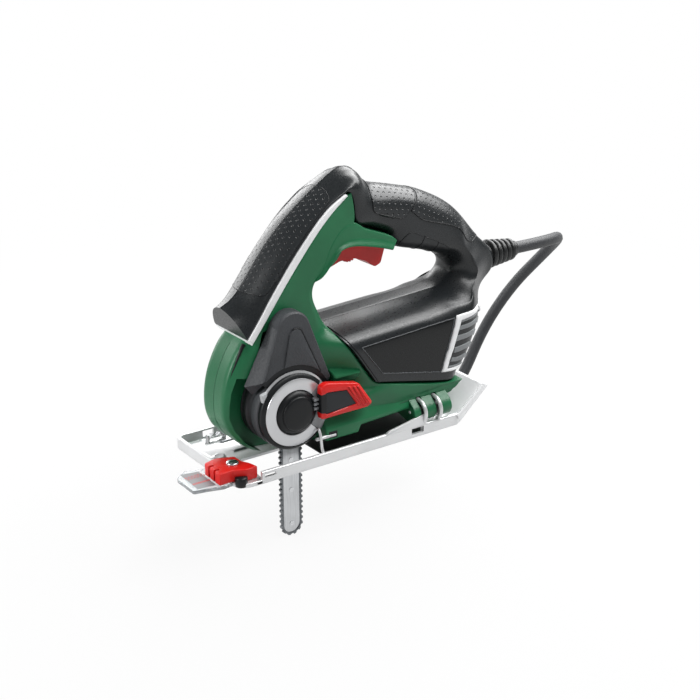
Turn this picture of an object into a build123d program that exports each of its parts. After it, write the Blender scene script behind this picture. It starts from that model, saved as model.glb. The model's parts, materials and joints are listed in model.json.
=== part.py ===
from build123d import *
import os
from math import atan2, cos, degrees, hypot, pi, radians, sin, sqrt, tan

os.makedirs("parts", exist_ok=True)

# A corded hand saw with a short guide bar and a micro saw chain.
# Millimetres. X runs to the rear of the tool, Z up. The origin is where the blade's centre line
# crosses the underside of the sole plate, and the blade cuts in the plane Y = 0.

# Casing
MID_Y = 27.0                     # middle plane of the casing
PILLAR_HALF = 21.0               # half width of the pillar, nose and front grip
HANDLE_HALF = 19.0               # half width of the rear handle
SKIRT_HALF = 34.5                # half width of the lower skirt
BARREL_HALF = 36.5               # half width of the motor barrel
SKIN = 3.0                       # thickness of inlays and of the rear vent skin
SIDE_SKIN = 5.0                  # thickness of the vent skin at the sides
BARREL_TOP_R = 15.0              # rounding of the barrel's top edges
BARREL_REAR_R = 20.0             # rounding of its rear corners

# Front grip bar: the trim line starts at the foot and climbs at the bar's angle
BAR_FOOT = (-22.0, 89.0)
BAR_ANGLE = 49.5
BAR_LENGTH = 119.0
TRIM_THICK = 7.5

# Blade
BLADE_TIP_Z = -55.0
CHAIN_HALF = 9.0
CHAIN_BASE = 7.8
BAR_HALF = 6.8
BAR_THICK = 1.6
CHAIN_THICK = 2.8
TOOTH_COUNT = 54

# Drive
DRIVE_Z = 41.0                   # height of the drive shaft, at X = 0
MOTOR_Z = 58.0                   # height of the motor's axis
MODULE = 1.0
MOTOR_TEETH = 10
CROWN_TEETH = 30
LAY_TEETH = 16
DRIVE_TEETH = 36
TOOTH_THICK = 1.0
RUN_GAP = 0.05                   # radial clearance of every turning fit

# Blade clamp
COVER_FACE_Y = -4.0
KNOB_R = 25.0
RING_R = 23.0
RING_BORE = 15.5
CAP_R = 11.5
LEVER_X = 19.5                   # fold line of the lever
LEVER_Y = -12.8

# Sole plate
PLATE_FRONT = -50.0
PLATE_REAR = 136.0
PLATE_NEAR = -17.0
PLATE_FAR = 69.0
SHEET = 3.0
RIM_Z = 9.0
HINGE_Y = -9.0
HINGE_Z = 16.0
HINGE_PIN_R = 4.0
HOOK_R = 6.5
HOOK_THICK = 3.2
HOOKS_X = (21.5, 105.0, 119.0)

# Cord, coil and plug
CORD_D = 9.4
CORD_Z = 110.0                   # height of the cord where it leaves the boot
BOOT_END_X = 225.0
FLOOR_Z = -56.0                  # the surface that the blade tip and the coil lie over
TIE_THICK = 1.0
COIL_X = 165.0
COIL_Y = 170.0
COIL_OUT_R = 65.0
COIL_STEP = CORD_D + 0.5         # between turns, and between the two layers
COIL_START = 270.0               # degrees, the coil winds clockwise from here
LAYER_TURNS = 2.5                # turns in each layer, with a half turn between them
COIL_TAIL = 47.0                 # straight end of the cord, from the coil to the plug

PILLAR_NEAR = MID_Y - PILLAR_HALF
PILLAR_FAR = MID_Y + PILLAR_HALF
SKIRT_NEAR = MID_Y - SKIRT_HALF
SKIRT_FAR = MID_Y + SKIRT_HALF
BARREL_NEAR = MID_Y - BARREL_HALF
BARREL_FAR = MID_Y + BARREL_HALF
HANDLE_NEAR = MID_Y - HANDLE_HALF
HANDLE_FAR = MID_Y + HANDLE_HALF


def keep(piece, name):
    """Label a finished piece and write its file."""
    piece.part.label = name
    export_step(piece.part, f"parts/{name}.step")


def side(y):
    """The plane across the tool at this Y, with local axes X and Z and its normal towards -Y."""
    return Plane.XZ.offset(-y)


def outline(corners, y):
    """A face in the side view: corners (x, z, radius) joined by lines and arcs."""
    with BuildSketch(side(y)) as face:
        with BuildLine():
            FilletPolyline(*[(x, z) for x, z, r in corners], radius=[r for x, z, r in corners], close=True)
        make_face()
    return face.sketch


def round_face(x, z, radius, y, bore=0):
    """A disc or ring in the side view."""
    with BuildSketch(side(y)) as face:
        with Locations((x, z)):
            Circle(radius)
            if bore:
                Circle(bore, mode=Mode.SUBTRACT)
    return face.sketch


def motor_face(x, radius, bore=0):
    """A disc or ring about the motor's axis, facing the rear."""
    with BuildSketch(Plane.YZ.offset(x)) as face:
        with Locations((MID_Y, MOTOR_Z)):
            Circle(radius)
            if bore:
                Circle(bore, mode=Mode.SUBTRACT)
    return face.sketch


def bar_point(along, up):
    """A side view point on the grip bar: along its line from the foot, and square to it."""
    c, s = cos(radians(BAR_ANGLE)), sin(radians(BAR_ANGLE))
    return (BAR_FOOT[0] + along * c - up * s, BAR_FOOT[1] + along * s + up * c)


def corner(point, radius=0.0):
    return (point[0], point[1], radius)


# Side view outlines shared by several pieces
SEAM_TOP = (38.5, 91.3, 0)
SEAM_MID = (70.0, 48.0, 0)
SEAM_REAR = (136.0, 33.3, 0)
TRIM_LOW_END = bar_point(BAR_LENGTH, 0)
TRIM_TOP_END = bar_point(BAR_LENGTH, TRIM_THICK)
GRIP_JOIN = (57.5, 181.5, 0)
GRIP_BACK = (84.0, 184.0, 3)

PILLAR = [
    corner(BAR_FOOT), (-43.5, 60, 33), (-43.5, 32, 26), (-22, 9, 8), (24, 9, 4), (36, 20, 3), (70, 20, 0),
    SEAM_MID, SEAM_TOP, (26, 113, 9), (27, 122, 9), (33.5, 131.5, 3), (42, 130, 0), (52.5, 144.5, 4),
    (87, 137.5, 0), (88, 134.5, 0), (96, 140.5, 3), (93, 146, 3), (63, 156.5, 5), (59.5, 166, 0),
    corner(TRIM_LOW_END),
]
SKIRT = [
    (31, 20, 2), (148, 20, 5), (158, 30.5, 3), SEAM_REAR, SEAM_MID, (54, 70, 4), (40, 62, 6), (31, 40, 4),
]
BARREL = [
    SEAM_TOP, (133, 97.3, 0), (160, 99, 0), (182, 90, 14), (160.5, 30.5, 6), SEAM_REAR, SEAM_MID,
]
LOOP = [
    GRIP_JOIN, GRIP_BACK, (118, 175.3, 60), (152, 161.5, 45), (188, 127, 20), (201, 121.5, 2), (201, 98.5, 2),
    (187, 96, 10), (180, 80, 0), (128, 80, 0), (128, 97, 0), (150, 98.5, 10), (147, 116.5, 10), (118, 130, 25),
    (92, 135, 0), (88, 134.5, 0), (96, 140.5, 3), (93, 146, 3), (63, 156.5, 5), (59.5, 166, 0),
    corner(TRIM_LOW_END),
]
GRIP = [
    corner(bar_point(0, TRIM_THICK), 1), (-36.5, 114.5, 0), (30, 181, 55), (64, 197, 15), (84, 184, 0), GRIP_JOIN,
    corner(TRIM_TOP_END),
]
TRIM = [
    corner(BAR_FOOT, 1), corner(TRIM_LOW_END), GRIP_JOIN, corner(TRIM_TOP_END), corner(bar_point(0, TRIM_THICK), 1),
]
GEAR_BAY = [
    (-18, 84, 0), (-38, 58, 25), (-38, 34, 20), (-18, 13, 4), (22, 13, 4), (34, 24, 4), (46, 24, 0), (46, 76, 0),
    (28, 98, 4), (8, 98, 4),
]
COVER_HULL_LOW = (0.0, DRIVE_Z, 27.0)
COVER_HULL_TOP = (5.0, 97.0, 14.0)
GRIP_INLAY_ZONE = [
    corner(bar_point(32, TRIM_THICK + 4), 6), corner(bar_point(103, TRIM_THICK + 3), 6),
    corner(bar_point(107, 45)), corner(bar_point(29, 45)),
]
INLAY_FRONT_ZONE = [
    (72, 200, 0), (77, 168, 6), (84, 161, 4), (104, 155, 4), (111, 161.5, 0), (115, 168, 0), (112, 200, 0),
]
INLAY_REAR_ZONE = [
    (112, 200, 0), (115, 168, 0), (111, 161.5, 0), (129, 152.5, 40), (148, 141.5, 40), (169, 127.5, 1),
    (192, 149, 0), (170, 190, 0),
]
FINGER_ZONE = [
    (98, 125, 0), (110, 143, 4), (118, 143, 4), (135, 135.5, 8), (147, 129, 8), (147, 114, 4), (120, 115, 0),
]
VENT_ZONE = [(138.5, 84, 0), (125.3, 39, 0), (205, 31, 0), (205, 92, 0), (172, 93.5, 0)]
VENT_WINDOW = [(144.5, 78, 2), (133.5, 45, 2), (210, 37.5, 0), (210, 86, 0), (170, 86.5, 0)]
PANEL_DEEP = 1.0
PANEL = [(56, 75.5, 2), (135.3, 76.5, 1), (124.8, 40.5, 1), (74, 51, 2)]

# Spaces inside the casing
MOTOR_BAY_R = 29.0
WIRE_CHANNEL = [
    (118, 147, 0), (150, 132, 0), (184, 105, 0), (190, 105, 0), (190, 117, 0), (155, 145, 0), (122, 160, 0),
]
LOOP_CORE = [
    (62, 178.5, 0), (83.5, 181, 0), (117.2, 172.4, 57), (150.3, 158.9, 42), (186, 124.7, 17), (186, 108, 0),
    (150, 108, 0), (149, 119, 7), (119, 132.8, 22), (97, 137, 0), (93, 150, 0), (66, 160, 0),
]

with BuildPart() as motor_bay:
    extrude(motor_face(46, MOTOR_BAY_R), amount=100)
    extrude(motor_face(146, 16), amount=10)

with BuildPart() as handle_bays:
    with Locations((94, MID_Y, 158)):
        Box(60, 26, 17)
    with Locations((69, MID_Y, 136)):
        Box(54, 19.2, 36)
    extrude(outline(WIRE_CHANNEL, MID_Y + 5), amount=10)
    with BuildSketch(Plane.YZ.offset(188)):
        with Locations((MID_Y, CORD_Z)):
            Circle(7)
    extrude(amount=14)

# Casing screws: side view place and the far face that each one enters
SCREWS = [
    (42, 150, PILLAR_FAR), (14, 108, PILLAR_FAR), (56, 25, SKIRT_FAR), (140, 25, SKIRT_FAR),
    (157, 118, HANDLE_FAR), (172, 104, HANDLE_FAR),
]
SCREW_HEAD_R = 4.0
SCREW_HEAD = 2.4
SCREW_R = 1.8
SCREW_SUNK = 1.5

with BuildPart() as housing_screws:
    for screw_x, screw_z, face_y in SCREWS:
        extrude(round_face(screw_x, screw_z, SCREW_HEAD_R, face_y - SCREW_SUNK), amount=SCREW_HEAD)
        extrude(round_face(screw_x, screw_z, SCREW_R, face_y - SCREW_SUNK), amount=face_y - MID_Y + 8)
        with Locations((screw_x, face_y - SCREW_SUNK, screw_z)):
            Box(5, 1.6, 1.0, mode=Mode.SUBTRACT)
            Box(1.0, 1.6, 5, mode=Mode.SUBTRACT)
keep(housing_screws, "housing_screws")

with BuildPart() as screw_holes:
    for screw_x, screw_z, face_y in SCREWS:
        extrude(round_face(screw_x, screw_z, SCREW_HEAD_R, face_y + 20), amount=20 + SCREW_SUNK + SCREW_HEAD)
        extrude(round_face(screw_x, screw_z, SCREW_R, face_y), amount=face_y - MID_Y + 8 + SCREW_SUNK)

# Dark rear casing: motor barrel and handle
with BuildPart() as barrel_block:
    extrude(outline(BARREL, BARREL_FAR), amount=2 * BARREL_HALF)
    rear_edges = barrel_block.edges().filter_by(GeomType.LINE).filter_by_position(Axis.X, 164, 180)
    fillet(rear_edges.filter_by_position(Axis.Z, 45, 80), BARREL_REAR_R)
    top_edges = barrel_block.edges().filter_by(Axis.Y, reverse=True).filter_by_position(Axis.Z, 93, 99)
    fillet(top_edges, BARREL_TOP_R)

with BuildPart() as barrel_core:
    with BuildSketch(side(BARREL_FAR - SIDE_SKIN)):
        add(outline(BARREL, BARREL_FAR - SIDE_SKIN))
        offset(amount=-SKIN, kind=Kind.INTERSECTION)
    extrude(amount=2 * (BARREL_HALF - SIDE_SKIN))
    rear_edges = barrel_core.edges().filter_by(GeomType.LINE).filter_by_position(Axis.X, 162, 180)
    fillet(rear_edges.filter_by_position(Axis.Z, 45, 80), BARREL_REAR_R - SKIN)

with BuildPart() as loop_block:
    extrude(outline(LOOP, HANDLE_FAR), amount=2 * HANDLE_HALF)
    rim = loop_block.edges().filter_by(Axis.Y, reverse=True)
    crown = [e for e in rim if 86 < e.center().X < 196 and e.center().Z > 150 - 0.33 * (e.center().X - 90)]
    fillet(crown, 10)

with BuildPart() as loop_core:
    extrude(outline(LOOP_CORE, HANDLE_FAR - SKIN), amount=2 * (HANDLE_HALF - SKIN))


def handle_skin(zone):
    """The outer skin of the handle inside a side view zone."""
    with BuildPart() as skin:
        add(loop_block.part)
        add(loop_core.part, mode=Mode.SUBTRACT)
        extrude(outline(zone, HANDLE_FAR + 5), amount=2 * HANDLE_HALF + 10, mode=Mode.INTERSECT)
    return skin


handle_inlay_front = handle_skin(INLAY_FRONT_ZONE)
keep(handle_inlay_front, "handle_inlay_front")
handle_inlay_rear = handle_skin(INLAY_REAR_ZONE)
keep(handle_inlay_rear, "handle_inlay_rear")
finger_rest = handle_skin(FINGER_ZONE)
keep(finger_rest, "finger_rest")


with BuildPart() as side_panels:
    extrude(outline(PANEL, BARREL_NEAR + PANEL_DEEP), amount=PANEL_DEEP)
    extrude(outline(PANEL, BARREL_FAR), amount=PANEL_DEEP)
keep(side_panels, "side_panels")

with BuildPart() as rear_casing:
    add(barrel_block.part)
    extrude(outline(VENT_ZONE, BARREL_FAR + 5), amount=2 * BARREL_HALF + 10, mode=Mode.SUBTRACT)
    add(loop_block.part)
    extrude(outline(VENT_ZONE, BARREL_FAR + 5), amount=2 * BARREL_HALF + 10, mode=Mode.SUBTRACT)
    for hollow in (motor_bay, handle_bays, handle_inlay_front, handle_inlay_rear, finger_rest):
        add(hollow.part, mode=Mode.SUBTRACT)
    for inset in (side_panels, screw_holes):
        add(inset.part, mode=Mode.SUBTRACT)

with BuildPart() as rear_housing_left:
    add(rear_casing.part)
    split(bisect_by=side(MID_Y), keep=Keep.TOP)
keep(rear_housing_left, "rear_housing_left")

with BuildPart() as rear_housing_right:
    add(rear_casing.part)
    split(bisect_by=side(MID_Y), keep=Keep.BOTTOM)
keep(rear_housing_right, "rear_housing_right")

# Rear vent: a white frame round a slotted grille
SLOT_LOW_Z = 47.0
SLOT_STEP = 7.6
SLOT_COUNT = 5
SLOT_HEIGHT = 4.0

with BuildPart() as vent_frame:
    add(barrel_block.part)
    add(barrel_core.part, mode=Mode.SUBTRACT)
    extrude(outline(VENT_ZONE, BARREL_FAR + 5), amount=2 * BARREL_HALF + 10, mode=Mode.INTERSECT)
    extrude(outline(VENT_WINDOW, BARREL_FAR + 5), amount=2 * BARREL_HALF + 10, mode=Mode.SUBTRACT)
    add(motor_bay.part, mode=Mode.SUBTRACT)
keep(vent_frame, "vent_frame")

with BuildPart() as vent_grille:
    add(barrel_block.part)
    add(barrel_core.part, mode=Mode.SUBTRACT)
    extrude(outline(VENT_ZONE, BARREL_FAR + 5), amount=2 * BARREL_HALF + 10, mode=Mode.INTERSECT)
    extrude(outline(VENT_WINDOW, BARREL_FAR + 5), amount=2 * BARREL_HALF + 10, mode=Mode.INTERSECT)
    for k in range(SLOT_COUNT):
        slot_z = SLOT_LOW_Z + SLOT_STEP * k
        slot_x = 137.0 + 12.0 * k / SLOT_COUNT
        with Locations((slot_x, MID_Y, slot_z)):
            Box(70, 100, SLOT_HEIGHT, align=(Align.MIN, Align.CENTER, Align.CENTER), mode=Mode.SUBTRACT)
keep(vent_grille, "vent_grille")

# Green front casing: pillar, nose and lower skirt
DRUM_R = 27.0
DRUM_BACK_Y = 19.4
BAY_NEAR_Y = 22.0
BAY_FAR_Y = 45.0
BOSS_R = 7.4

with BuildPart() as front_casing:
    extrude(outline(PILLAR, PILLAR_FAR), amount=2 * PILLAR_HALF)
    nose = [e for e in front_casing.edges().filter_by(Axis.Y, reverse=True) if e.center().X < -24]
    fillet(nose, 8)
    extrude(outline(SKIRT, SKIRT_FAR), amount=2 * SKIRT_HALF)
    for boss_x, boss_long in ((25.0, 6.0), (95.0, 6.0), (109.0, 6.0), (123.0, 8.0)):
        with BuildSketch(Plane.YZ.offset(boss_x)):
            with Locations((HINGE_Y, HINGE_Z)):
                Circle(BOSS_R)
            with Locations((HINGE_Y + 4, HINGE_Z + 6)):
                Rectangle(9, 12)
        extrude(amount=boss_long)
    extrude(outline(GEAR_BAY, BAY_FAR_Y), amount=BAY_FAR_Y - BAY_NEAR_Y, mode=Mode.SUBTRACT)
    extrude(round_face(0, DRIVE_Z, DRUM_R + 0.3, DRUM_BACK_Y + 0.2), amount=40, mode=Mode.SUBTRACT)
    extrude(round_face(0, DRIVE_Z, 6, BAY_NEAR_Y + 1), amount=10, mode=Mode.SUBTRACT)
    extrude(motor_face(31, 7), amount=20, mode=Mode.SUBTRACT)
    with BuildSketch(Plane.YZ.offset(16)):
        with Locations((HINGE_Y, HINGE_Z)):
            Circle(HINGE_PIN_R)
    extrude(amount=14, mode=Mode.SUBTRACT)
    with BuildSketch(Plane.YZ.offset(96)):
        with Locations((HINGE_Y, HINGE_Z)):
            Circle(HINGE_PIN_R)
    extrude(amount=34, mode=Mode.SUBTRACT)
    for window_x in (101.0, 115.0):
        with BuildSketch(Plane.YZ.offset(window_x)):
            with Locations((HINGE_Y, HINGE_Z)):
                Circle(HOOK_R + 0.7)
        extrude(amount=8, mode=Mode.SUBTRACT)
    for hollow in (motor_bay, handle_bays, screw_holes):
        add(hollow.part, mode=Mode.SUBTRACT)

with BuildPart() as front_housing_left:
    add(front_casing.part)
    split(bisect_by=side(MID_Y), keep=Keep.TOP)
keep(front_housing_left, "front_housing_left")

with BuildPart() as front_housing_right:
    add(front_casing.part)
    split(bisect_by=side(MID_Y), keep=Keep.BOTTOM)
keep(front_housing_right, "front_housing_right")

with BuildPart() as hinge_pins:
    for pin_x, pin_long in ((16.0, 14.0), (96.0, 34.0)):
        with BuildSketch(Plane.YZ.offset(pin_x)):
            with Locations((HINGE_Y, HINGE_Z)):
                Circle(HINGE_PIN_R)
        extrude(amount=pin_long)
keep(hinge_pins, "hinge_pins")

# Front grip bar and its trim
with BuildPart() as grip_block:
    extrude(outline(GRIP, PILLAR_FAR), amount=2 * PILLAR_HALF)
    rim = grip_block.edges().filter_by(Axis.Y, reverse=True)
    fillet([e for e in rim if e.center().Z > 184.5 or e.center().Z - e.center().X > 140], 9)

with BuildPart() as front_grip_inlay:
    add(grip_block.part)
    extrude(outline(GRIP_INLAY_ZONE, PILLAR_FAR + 5), amount=2 * PILLAR_HALF + 10, mode=Mode.INTERSECT)
keep(front_grip_inlay, "front_grip_inlay")

with BuildPart() as front_grip:
    add(grip_block.part)
    add(front_grip_inlay.part, mode=Mode.SUBTRACT)
keep(front_grip, "front_grip")

with BuildPart() as trim_strip:
    extrude(outline(TRIM, PILLAR_FAR + 0.6), amount=2 * PILLAR_HALF + 1.2)
keep(trim_strip, "trim_strip")


def cover_hull(y):
    """The cover's outline: the hull of a low circle round the drive and a small circle at the top."""
    with BuildSketch(side(y)) as face:
        for x, z, r in (COVER_HULL_LOW, COVER_HULL_TOP):
            with Locations((x, z)):
                Circle(r)
        make_hull()
    return face.sketch


# Gear case, cover and drive bearing seat
CASE_FACE_Y = 4.0
BEARING_R = 8.0
SHAFT_R = 4.0

with BuildPart() as gear_case:
    extrude(cover_hull(PILLAR_NEAR), amount=PILLAR_NEAR - CASE_FACE_Y)
    extrude(round_face(0, DRIVE_Z, DRUM_R, DRUM_BACK_Y), amount=DRUM_BACK_Y - CASE_FACE_Y)
    extrude(round_face(0, DRIVE_Z, BEARING_R, DRUM_BACK_Y), amount=DRUM_BACK_Y - 8.0, mode=Mode.SUBTRACT)
    extrude(round_face(0, DRIVE_Z, 5.0, 10.0), amount=10.0, mode=Mode.SUBTRACT)
    extrude(round_face(0, DRIVE_Z, DRUM_R - 3.5, DRUM_BACK_Y, bore=12), amount=8, mode=Mode.SUBTRACT)
keep(gear_case, "gear_case")

with BuildPart() as gear_cover:
    extrude(cover_hull(CASE_FACE_Y), amount=CASE_FACE_Y - COVER_FACE_Y)
    chamfer(gear_cover.faces().sort_by(Axis.Y)[0].edges(), 1.5)
    extrude(round_face(0, DRIVE_Z, 10.0, 1.9), amount=3.8, mode=Mode.SUBTRACT)
    with Locations((0, 0, 23.0)):
        Box(20, 3.8, 36, mode=Mode.SUBTRACT)
    extrude(round_face(0, DRIVE_Z, 5.0, CASE_FACE_Y), amount=4, mode=Mode.SUBTRACT)
    extrude(round_face(0, DRIVE_Z, 5.0 + RUN_GAP, 0), amount=6, mode=Mode.SUBTRACT)
    for pad_y in (-1.35, 1.35):
        with Locations((0, pad_y, 20)):
            Box(10, 1.1, 16)
keep(gear_cover, "gear_cover")

with BuildPart() as cover_inlay:
    extrude(outline([(-15, 60, 0), (0, 101, 5), (10, 101, 5), (25, 58, 0)], COVER_FACE_Y), amount=1.4)
    extrude(round_face(0, DRIVE_Z, KNOB_R + 1.5, 0), amount=10, mode=Mode.SUBTRACT)
keep(cover_inlay, "cover_inlay")

# Blade clamp knob with its fold-out lever
KNOB_BACK_Y = COVER_FACE_Y - 0.4
KNOB_FACE_Y = KNOB_BACK_Y - 4.0
HUB_FACE_Y = KNOB_FACE_Y - 2.2
CAP_FACE_Y = HUB_FACE_Y - 2.3
LEVER_OUT_Y = LEVER_Y - 2.8
LEVER_IN_Y = LEVER_Y + 2.8
PIN_R = 1.6
LUG_LOW_Z = 35.0
LUG_HIGH_Z = 47.0

with BuildPart() as lever_pin:
    with BuildSketch(Plane.XY.offset(30.5)):
        with Locations((LEVER_X, LEVER_Y)):
            Circle(PIN_R)
    extrude(amount=22)
keep(lever_pin, "lever_pin")

with BuildPart() as clamp_drum:
    extrude(round_face(0, DRIVE_Z, KNOB_R, KNOB_BACK_Y), amount=KNOB_BACK_Y - KNOB_FACE_Y)
    chamfer(clamp_drum.faces().sort_by(Axis.Y)[0].edges(), 1.2)
    extrude(round_face(0, DRIVE_Z, RING_BORE - 0.3, KNOB_FACE_Y), amount=KNOB_FACE_Y - HUB_FACE_Y)
    chamfer(clamp_drum.faces().sort_by(Axis.Y)[0].edges(), 1.8)
    extrude(round_face(0, DRIVE_Z, 5.0, COVER_FACE_Y + 1.8), amount=4)
    with BuildSketch(Plane.XY.offset(LUG_LOW_Z)):
        with Locations((LEVER_X, LEVER_Y)):
            Circle(2.7)
        with Locations((LEVER_X - 2.6, (LEVER_Y + KNOB_FACE_Y) / 2)):
            Rectangle(5, KNOB_FACE_Y - LEVER_Y + 0.6)
    extrude(amount=LUG_HIGH_Z - LUG_LOW_Z)
    with Locations((-KNOB_R, (KNOB_BACK_Y + KNOB_FACE_Y) / 2, DRIVE_Z + 3)):
        Box(3, 5, 9, mode=Mode.SUBTRACT)
    with Locations((-17, (KNOB_BACK_Y + KNOB_FACE_Y) / 2, DRIVE_Z - 18.5)):
        Box(4, 5, 6, mode=Mode.SUBTRACT)
    add(lever_pin.part, mode=Mode.SUBTRACT)
keep(clamp_drum, "clamp_drum")

with BuildPart() as clamp_ring:
    extrude(round_face(0, DRIVE_Z, RING_R, KNOB_FACE_Y, bore=RING_BORE), amount=1.0)
    with Locations((20, KNOB_FACE_Y, DRIVE_Z)):
        Box(16, 6, 36, mode=Mode.SUBTRACT)
    chamfer(clamp_ring.faces().sort_by(Axis.Y)[0].edges(), 0.3)
keep(clamp_ring, "clamp_ring")

with BuildPart() as clamp_cap:
    extrude(round_face(0, DRIVE_Z, CAP_R, HUB_FACE_Y), amount=HUB_FACE_Y - CAP_FACE_Y)
    fillet(clamp_cap.faces().sort_by(Axis.Y)[0].edges(), 1.2)
keep(clamp_cap, "clamp_cap")

LEVER = [(LEVER_X, 57.5, 0), (51, 53, 2), (63.5, 35, 2), (60, 31.5, 2), (LEVER_X, 29.5, 0)]
LEVER_PANEL = [(27.5, 49.5, 1), (46, 48.5, 1), (54.5, 37, 1), (27.5, 34.5, 1)]
GROOVE_STEP = 3.0

with BuildPart() as lever_panel:
    extrude(outline(LEVER_PANEL, LEVER_OUT_Y + 1.4), amount=1.2)
keep(lever_panel, "lever_panel")

with BuildPart() as clamp_lever:
    extrude(outline(LEVER, LEVER_IN_Y), amount=LEVER_IN_Y - LEVER_OUT_Y)
    with BuildSketch(Plane.XY.offset(29.5)):
        with Locations((LEVER_X, LEVER_Y)):
            Circle(2.8)
    extrude(amount=28)
    with Locations((LEVER_X - 0.2, LEVER_Y, (LUG_LOW_Z + LUG_HIGH_Z) / 2)):
        Box(13, 8, LUG_HIGH_Z - LUG_LOW_Z + 0.8, mode=Mode.SUBTRACT)
    with BuildSketch(Plane.XY.offset(30.3)):
        with Locations((LEVER_X, LEVER_Y)):
            Circle(PIN_R + RUN_GAP)
    extrude(amount=22.4, mode=Mode.SUBTRACT)
    extrude(outline(LEVER_PANEL, LEVER_OUT_Y + 1.4), amount=2, mode=Mode.SUBTRACT)
    for k in range(1, 4):
        shift = GROOVE_STEP * k - 0.7
        extrude(outline([
            (51 - 0.82 * shift, 52 - 0.57 * shift, 0), (51.8 - 0.82 * shift, 52.5 - 0.57 * shift, 0),
            (63.3 - 0.82 * shift, 36 - 0.57 * shift, 0), (62.5 - 0.82 * shift, 35.5 - 0.57 * shift, 0),
        ], LEVER_OUT_Y + 0.7), amount=2, mode=Mode.SUBTRACT)
keep(clamp_lever, "clamp_lever")

# Guide bar, saw chain and rivets
NOSE_Z = BLADE_TIP_Z + CHAIN_HALF
CHAIN_RUN = DRIVE_Z - NOSE_Z
CHAIN_TURN = pi * (CHAIN_BASE + BAR_HALF) / 2
RIVETS_Z = (NOSE_Z, -20.0, 3.0)


def chain_point(distance, reach):
    """A point of the chain loop: distance along it from the nose's right side, and reach from its spine."""
    if distance < CHAIN_RUN:
        return (reach, NOSE_Z + distance)
    distance -= CHAIN_RUN
    if distance < CHAIN_TURN:
        angle = pi * distance / CHAIN_TURN
        return (reach * cos(angle), DRIVE_Z + reach * sin(angle))
    distance -= CHAIN_TURN
    if distance < CHAIN_RUN:
        return (-reach, DRIVE_Z - distance)
    angle = pi + pi * (distance - CHAIN_RUN) / CHAIN_TURN
    return (reach * cos(angle), NOSE_Z + reach * sin(angle))


TOOTH_PITCH = 2 * (CHAIN_RUN + CHAIN_TURN) / TOOTH_COUNT
CHAIN_EDGE = []
for k in range(TOOTH_COUNT):
    CHAIN_EDGE.append(chain_point((k + 0.05) * TOOTH_PITCH, CHAIN_BASE))
    CHAIN_EDGE.append(chain_point((k + 0.35) * TOOTH_PITCH, CHAIN_BASE))
    CHAIN_EDGE.append(chain_point((k + 0.50) * TOOTH_PITCH, CHAIN_HALF))
    CHAIN_EDGE.append(chain_point((k + 0.85) * TOOTH_PITCH, CHAIN_HALF - 0.3))

with BuildPart() as bar_rivets:
    for rivet_z in RIVETS_Z:
        extrude(round_face(0, rivet_z, 1.7, BAR_THICK / 2 + 0.3), amount=BAR_THICK + 0.6)
keep(bar_rivets, "bar_rivets")

with BuildPart() as guide_bar:
    with BuildSketch(side(BAR_THICK / 2)):
        with Locations((0, NOSE_Z)):
            Circle(BAR_HALF)
            Rectangle(2 * BAR_HALF, 30 - NOSE_Z, align=(Align.CENTER, Align.MIN))
    extrude(amount=BAR_THICK)
    add(bar_rivets.part, mode=Mode.SUBTRACT)
keep(guide_bar, "guide_bar")

with BuildPart() as saw_chain:
    with BuildSketch(side(CHAIN_THICK / 2)):
        with BuildLine():
            Polyline(*CHAIN_EDGE, close=True)
        make_face()
        with Locations((0, NOSE_Z), (0, DRIVE_Z)):
            Circle(BAR_HALF, mode=Mode.SUBTRACT)
        with Locations((0, NOSE_Z)):
            Rectangle(2 * BAR_HALF, CHAIN_RUN, align=(Align.CENTER, Align.MIN), mode=Mode.SUBTRACT)
    extrude(amount=CHAIN_THICK)
keep(saw_chain, "saw_chain")

# Gears. The layshaft stands level with the motor and a gear pair's centre distance from the drive shaft.
LAY_R = MODULE * LAY_TEETH / 2
DRIVE_R = MODULE * DRIVE_TEETH / 2
LAY_X = sqrt((LAY_R + DRIVE_R) ** 2 - (MOTOR_Z - DRIVE_Z) ** 2)
MESH_ANGLE = degrees(atan2(DRIVE_Z - MOTOR_Z, -LAY_X))
CROWN_R = MODULE * CROWN_TEETH / 2
MOTOR_R = MODULE * MOTOR_TEETH / 2
CROWN_PITCH_Y = MID_Y + MOTOR_R
TOOTH_TIP = 0.7
TOOTH_ROOT = 1.05
LAY_SHAFT_R = 3.5
NOSE_SHAFT_R = 2.5
GEAR_BACK_Y = 30.6
GEAR_WIDTH = 4.0
PLATE_NEAR_Y = 26.0
PLATE_FAR_Y = 43.0
PLATE_THICK = 3.7
SHAFT_END_Y = 43.0


def gear_face(place, y, count, pitch_r, first_angle, bore):
    """A spur gear's face: a root disc with square teeth, the first at first_angle from X towards Z."""
    with BuildSketch(side(y)) as face:
        with Locations(place):
            Circle(pitch_r - TOOTH_ROOT)
            with PolarLocations(pitch_r - TOOTH_ROOT, count, start_angle=first_angle):
                Rectangle(2 * TOOTH_TIP + TOOTH_ROOT - 0.35 + TOOTH_ROOT, TOOTH_THICK)
            Circle(pitch_r + TOOTH_TIP, mode=Mode.INTERSECT)
            Circle(bore, mode=Mode.SUBTRACT)
    return face.sketch


with BuildPart() as drive_shaft:
    extrude(round_face(0, DRIVE_Z, SHAFT_R, SHAFT_END_Y), amount=SHAFT_END_Y - 6)
    extrude(round_face(0, DRIVE_Z, NOSE_SHAFT_R, 6), amount=7.2)
keep(drive_shaft, "drive_shaft")

with BuildPart() as drive_sprocket:
    extrude(round_face(0, DRIVE_Z, 5.0, 1.2), amount=2.4)
    with BuildSketch(side(1.2)):
        with Locations((0, DRIVE_Z)):
            with PolarLocations(5.0, 7):
                Rectangle(2.6, 1.8)
    extrude(amount=2.4)
    extrude(round_face(0, DRIVE_Z, NOSE_SHAFT_R, 3), amount=6, mode=Mode.SUBTRACT)
keep(drive_sprocket, "drive_sprocket")

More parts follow.
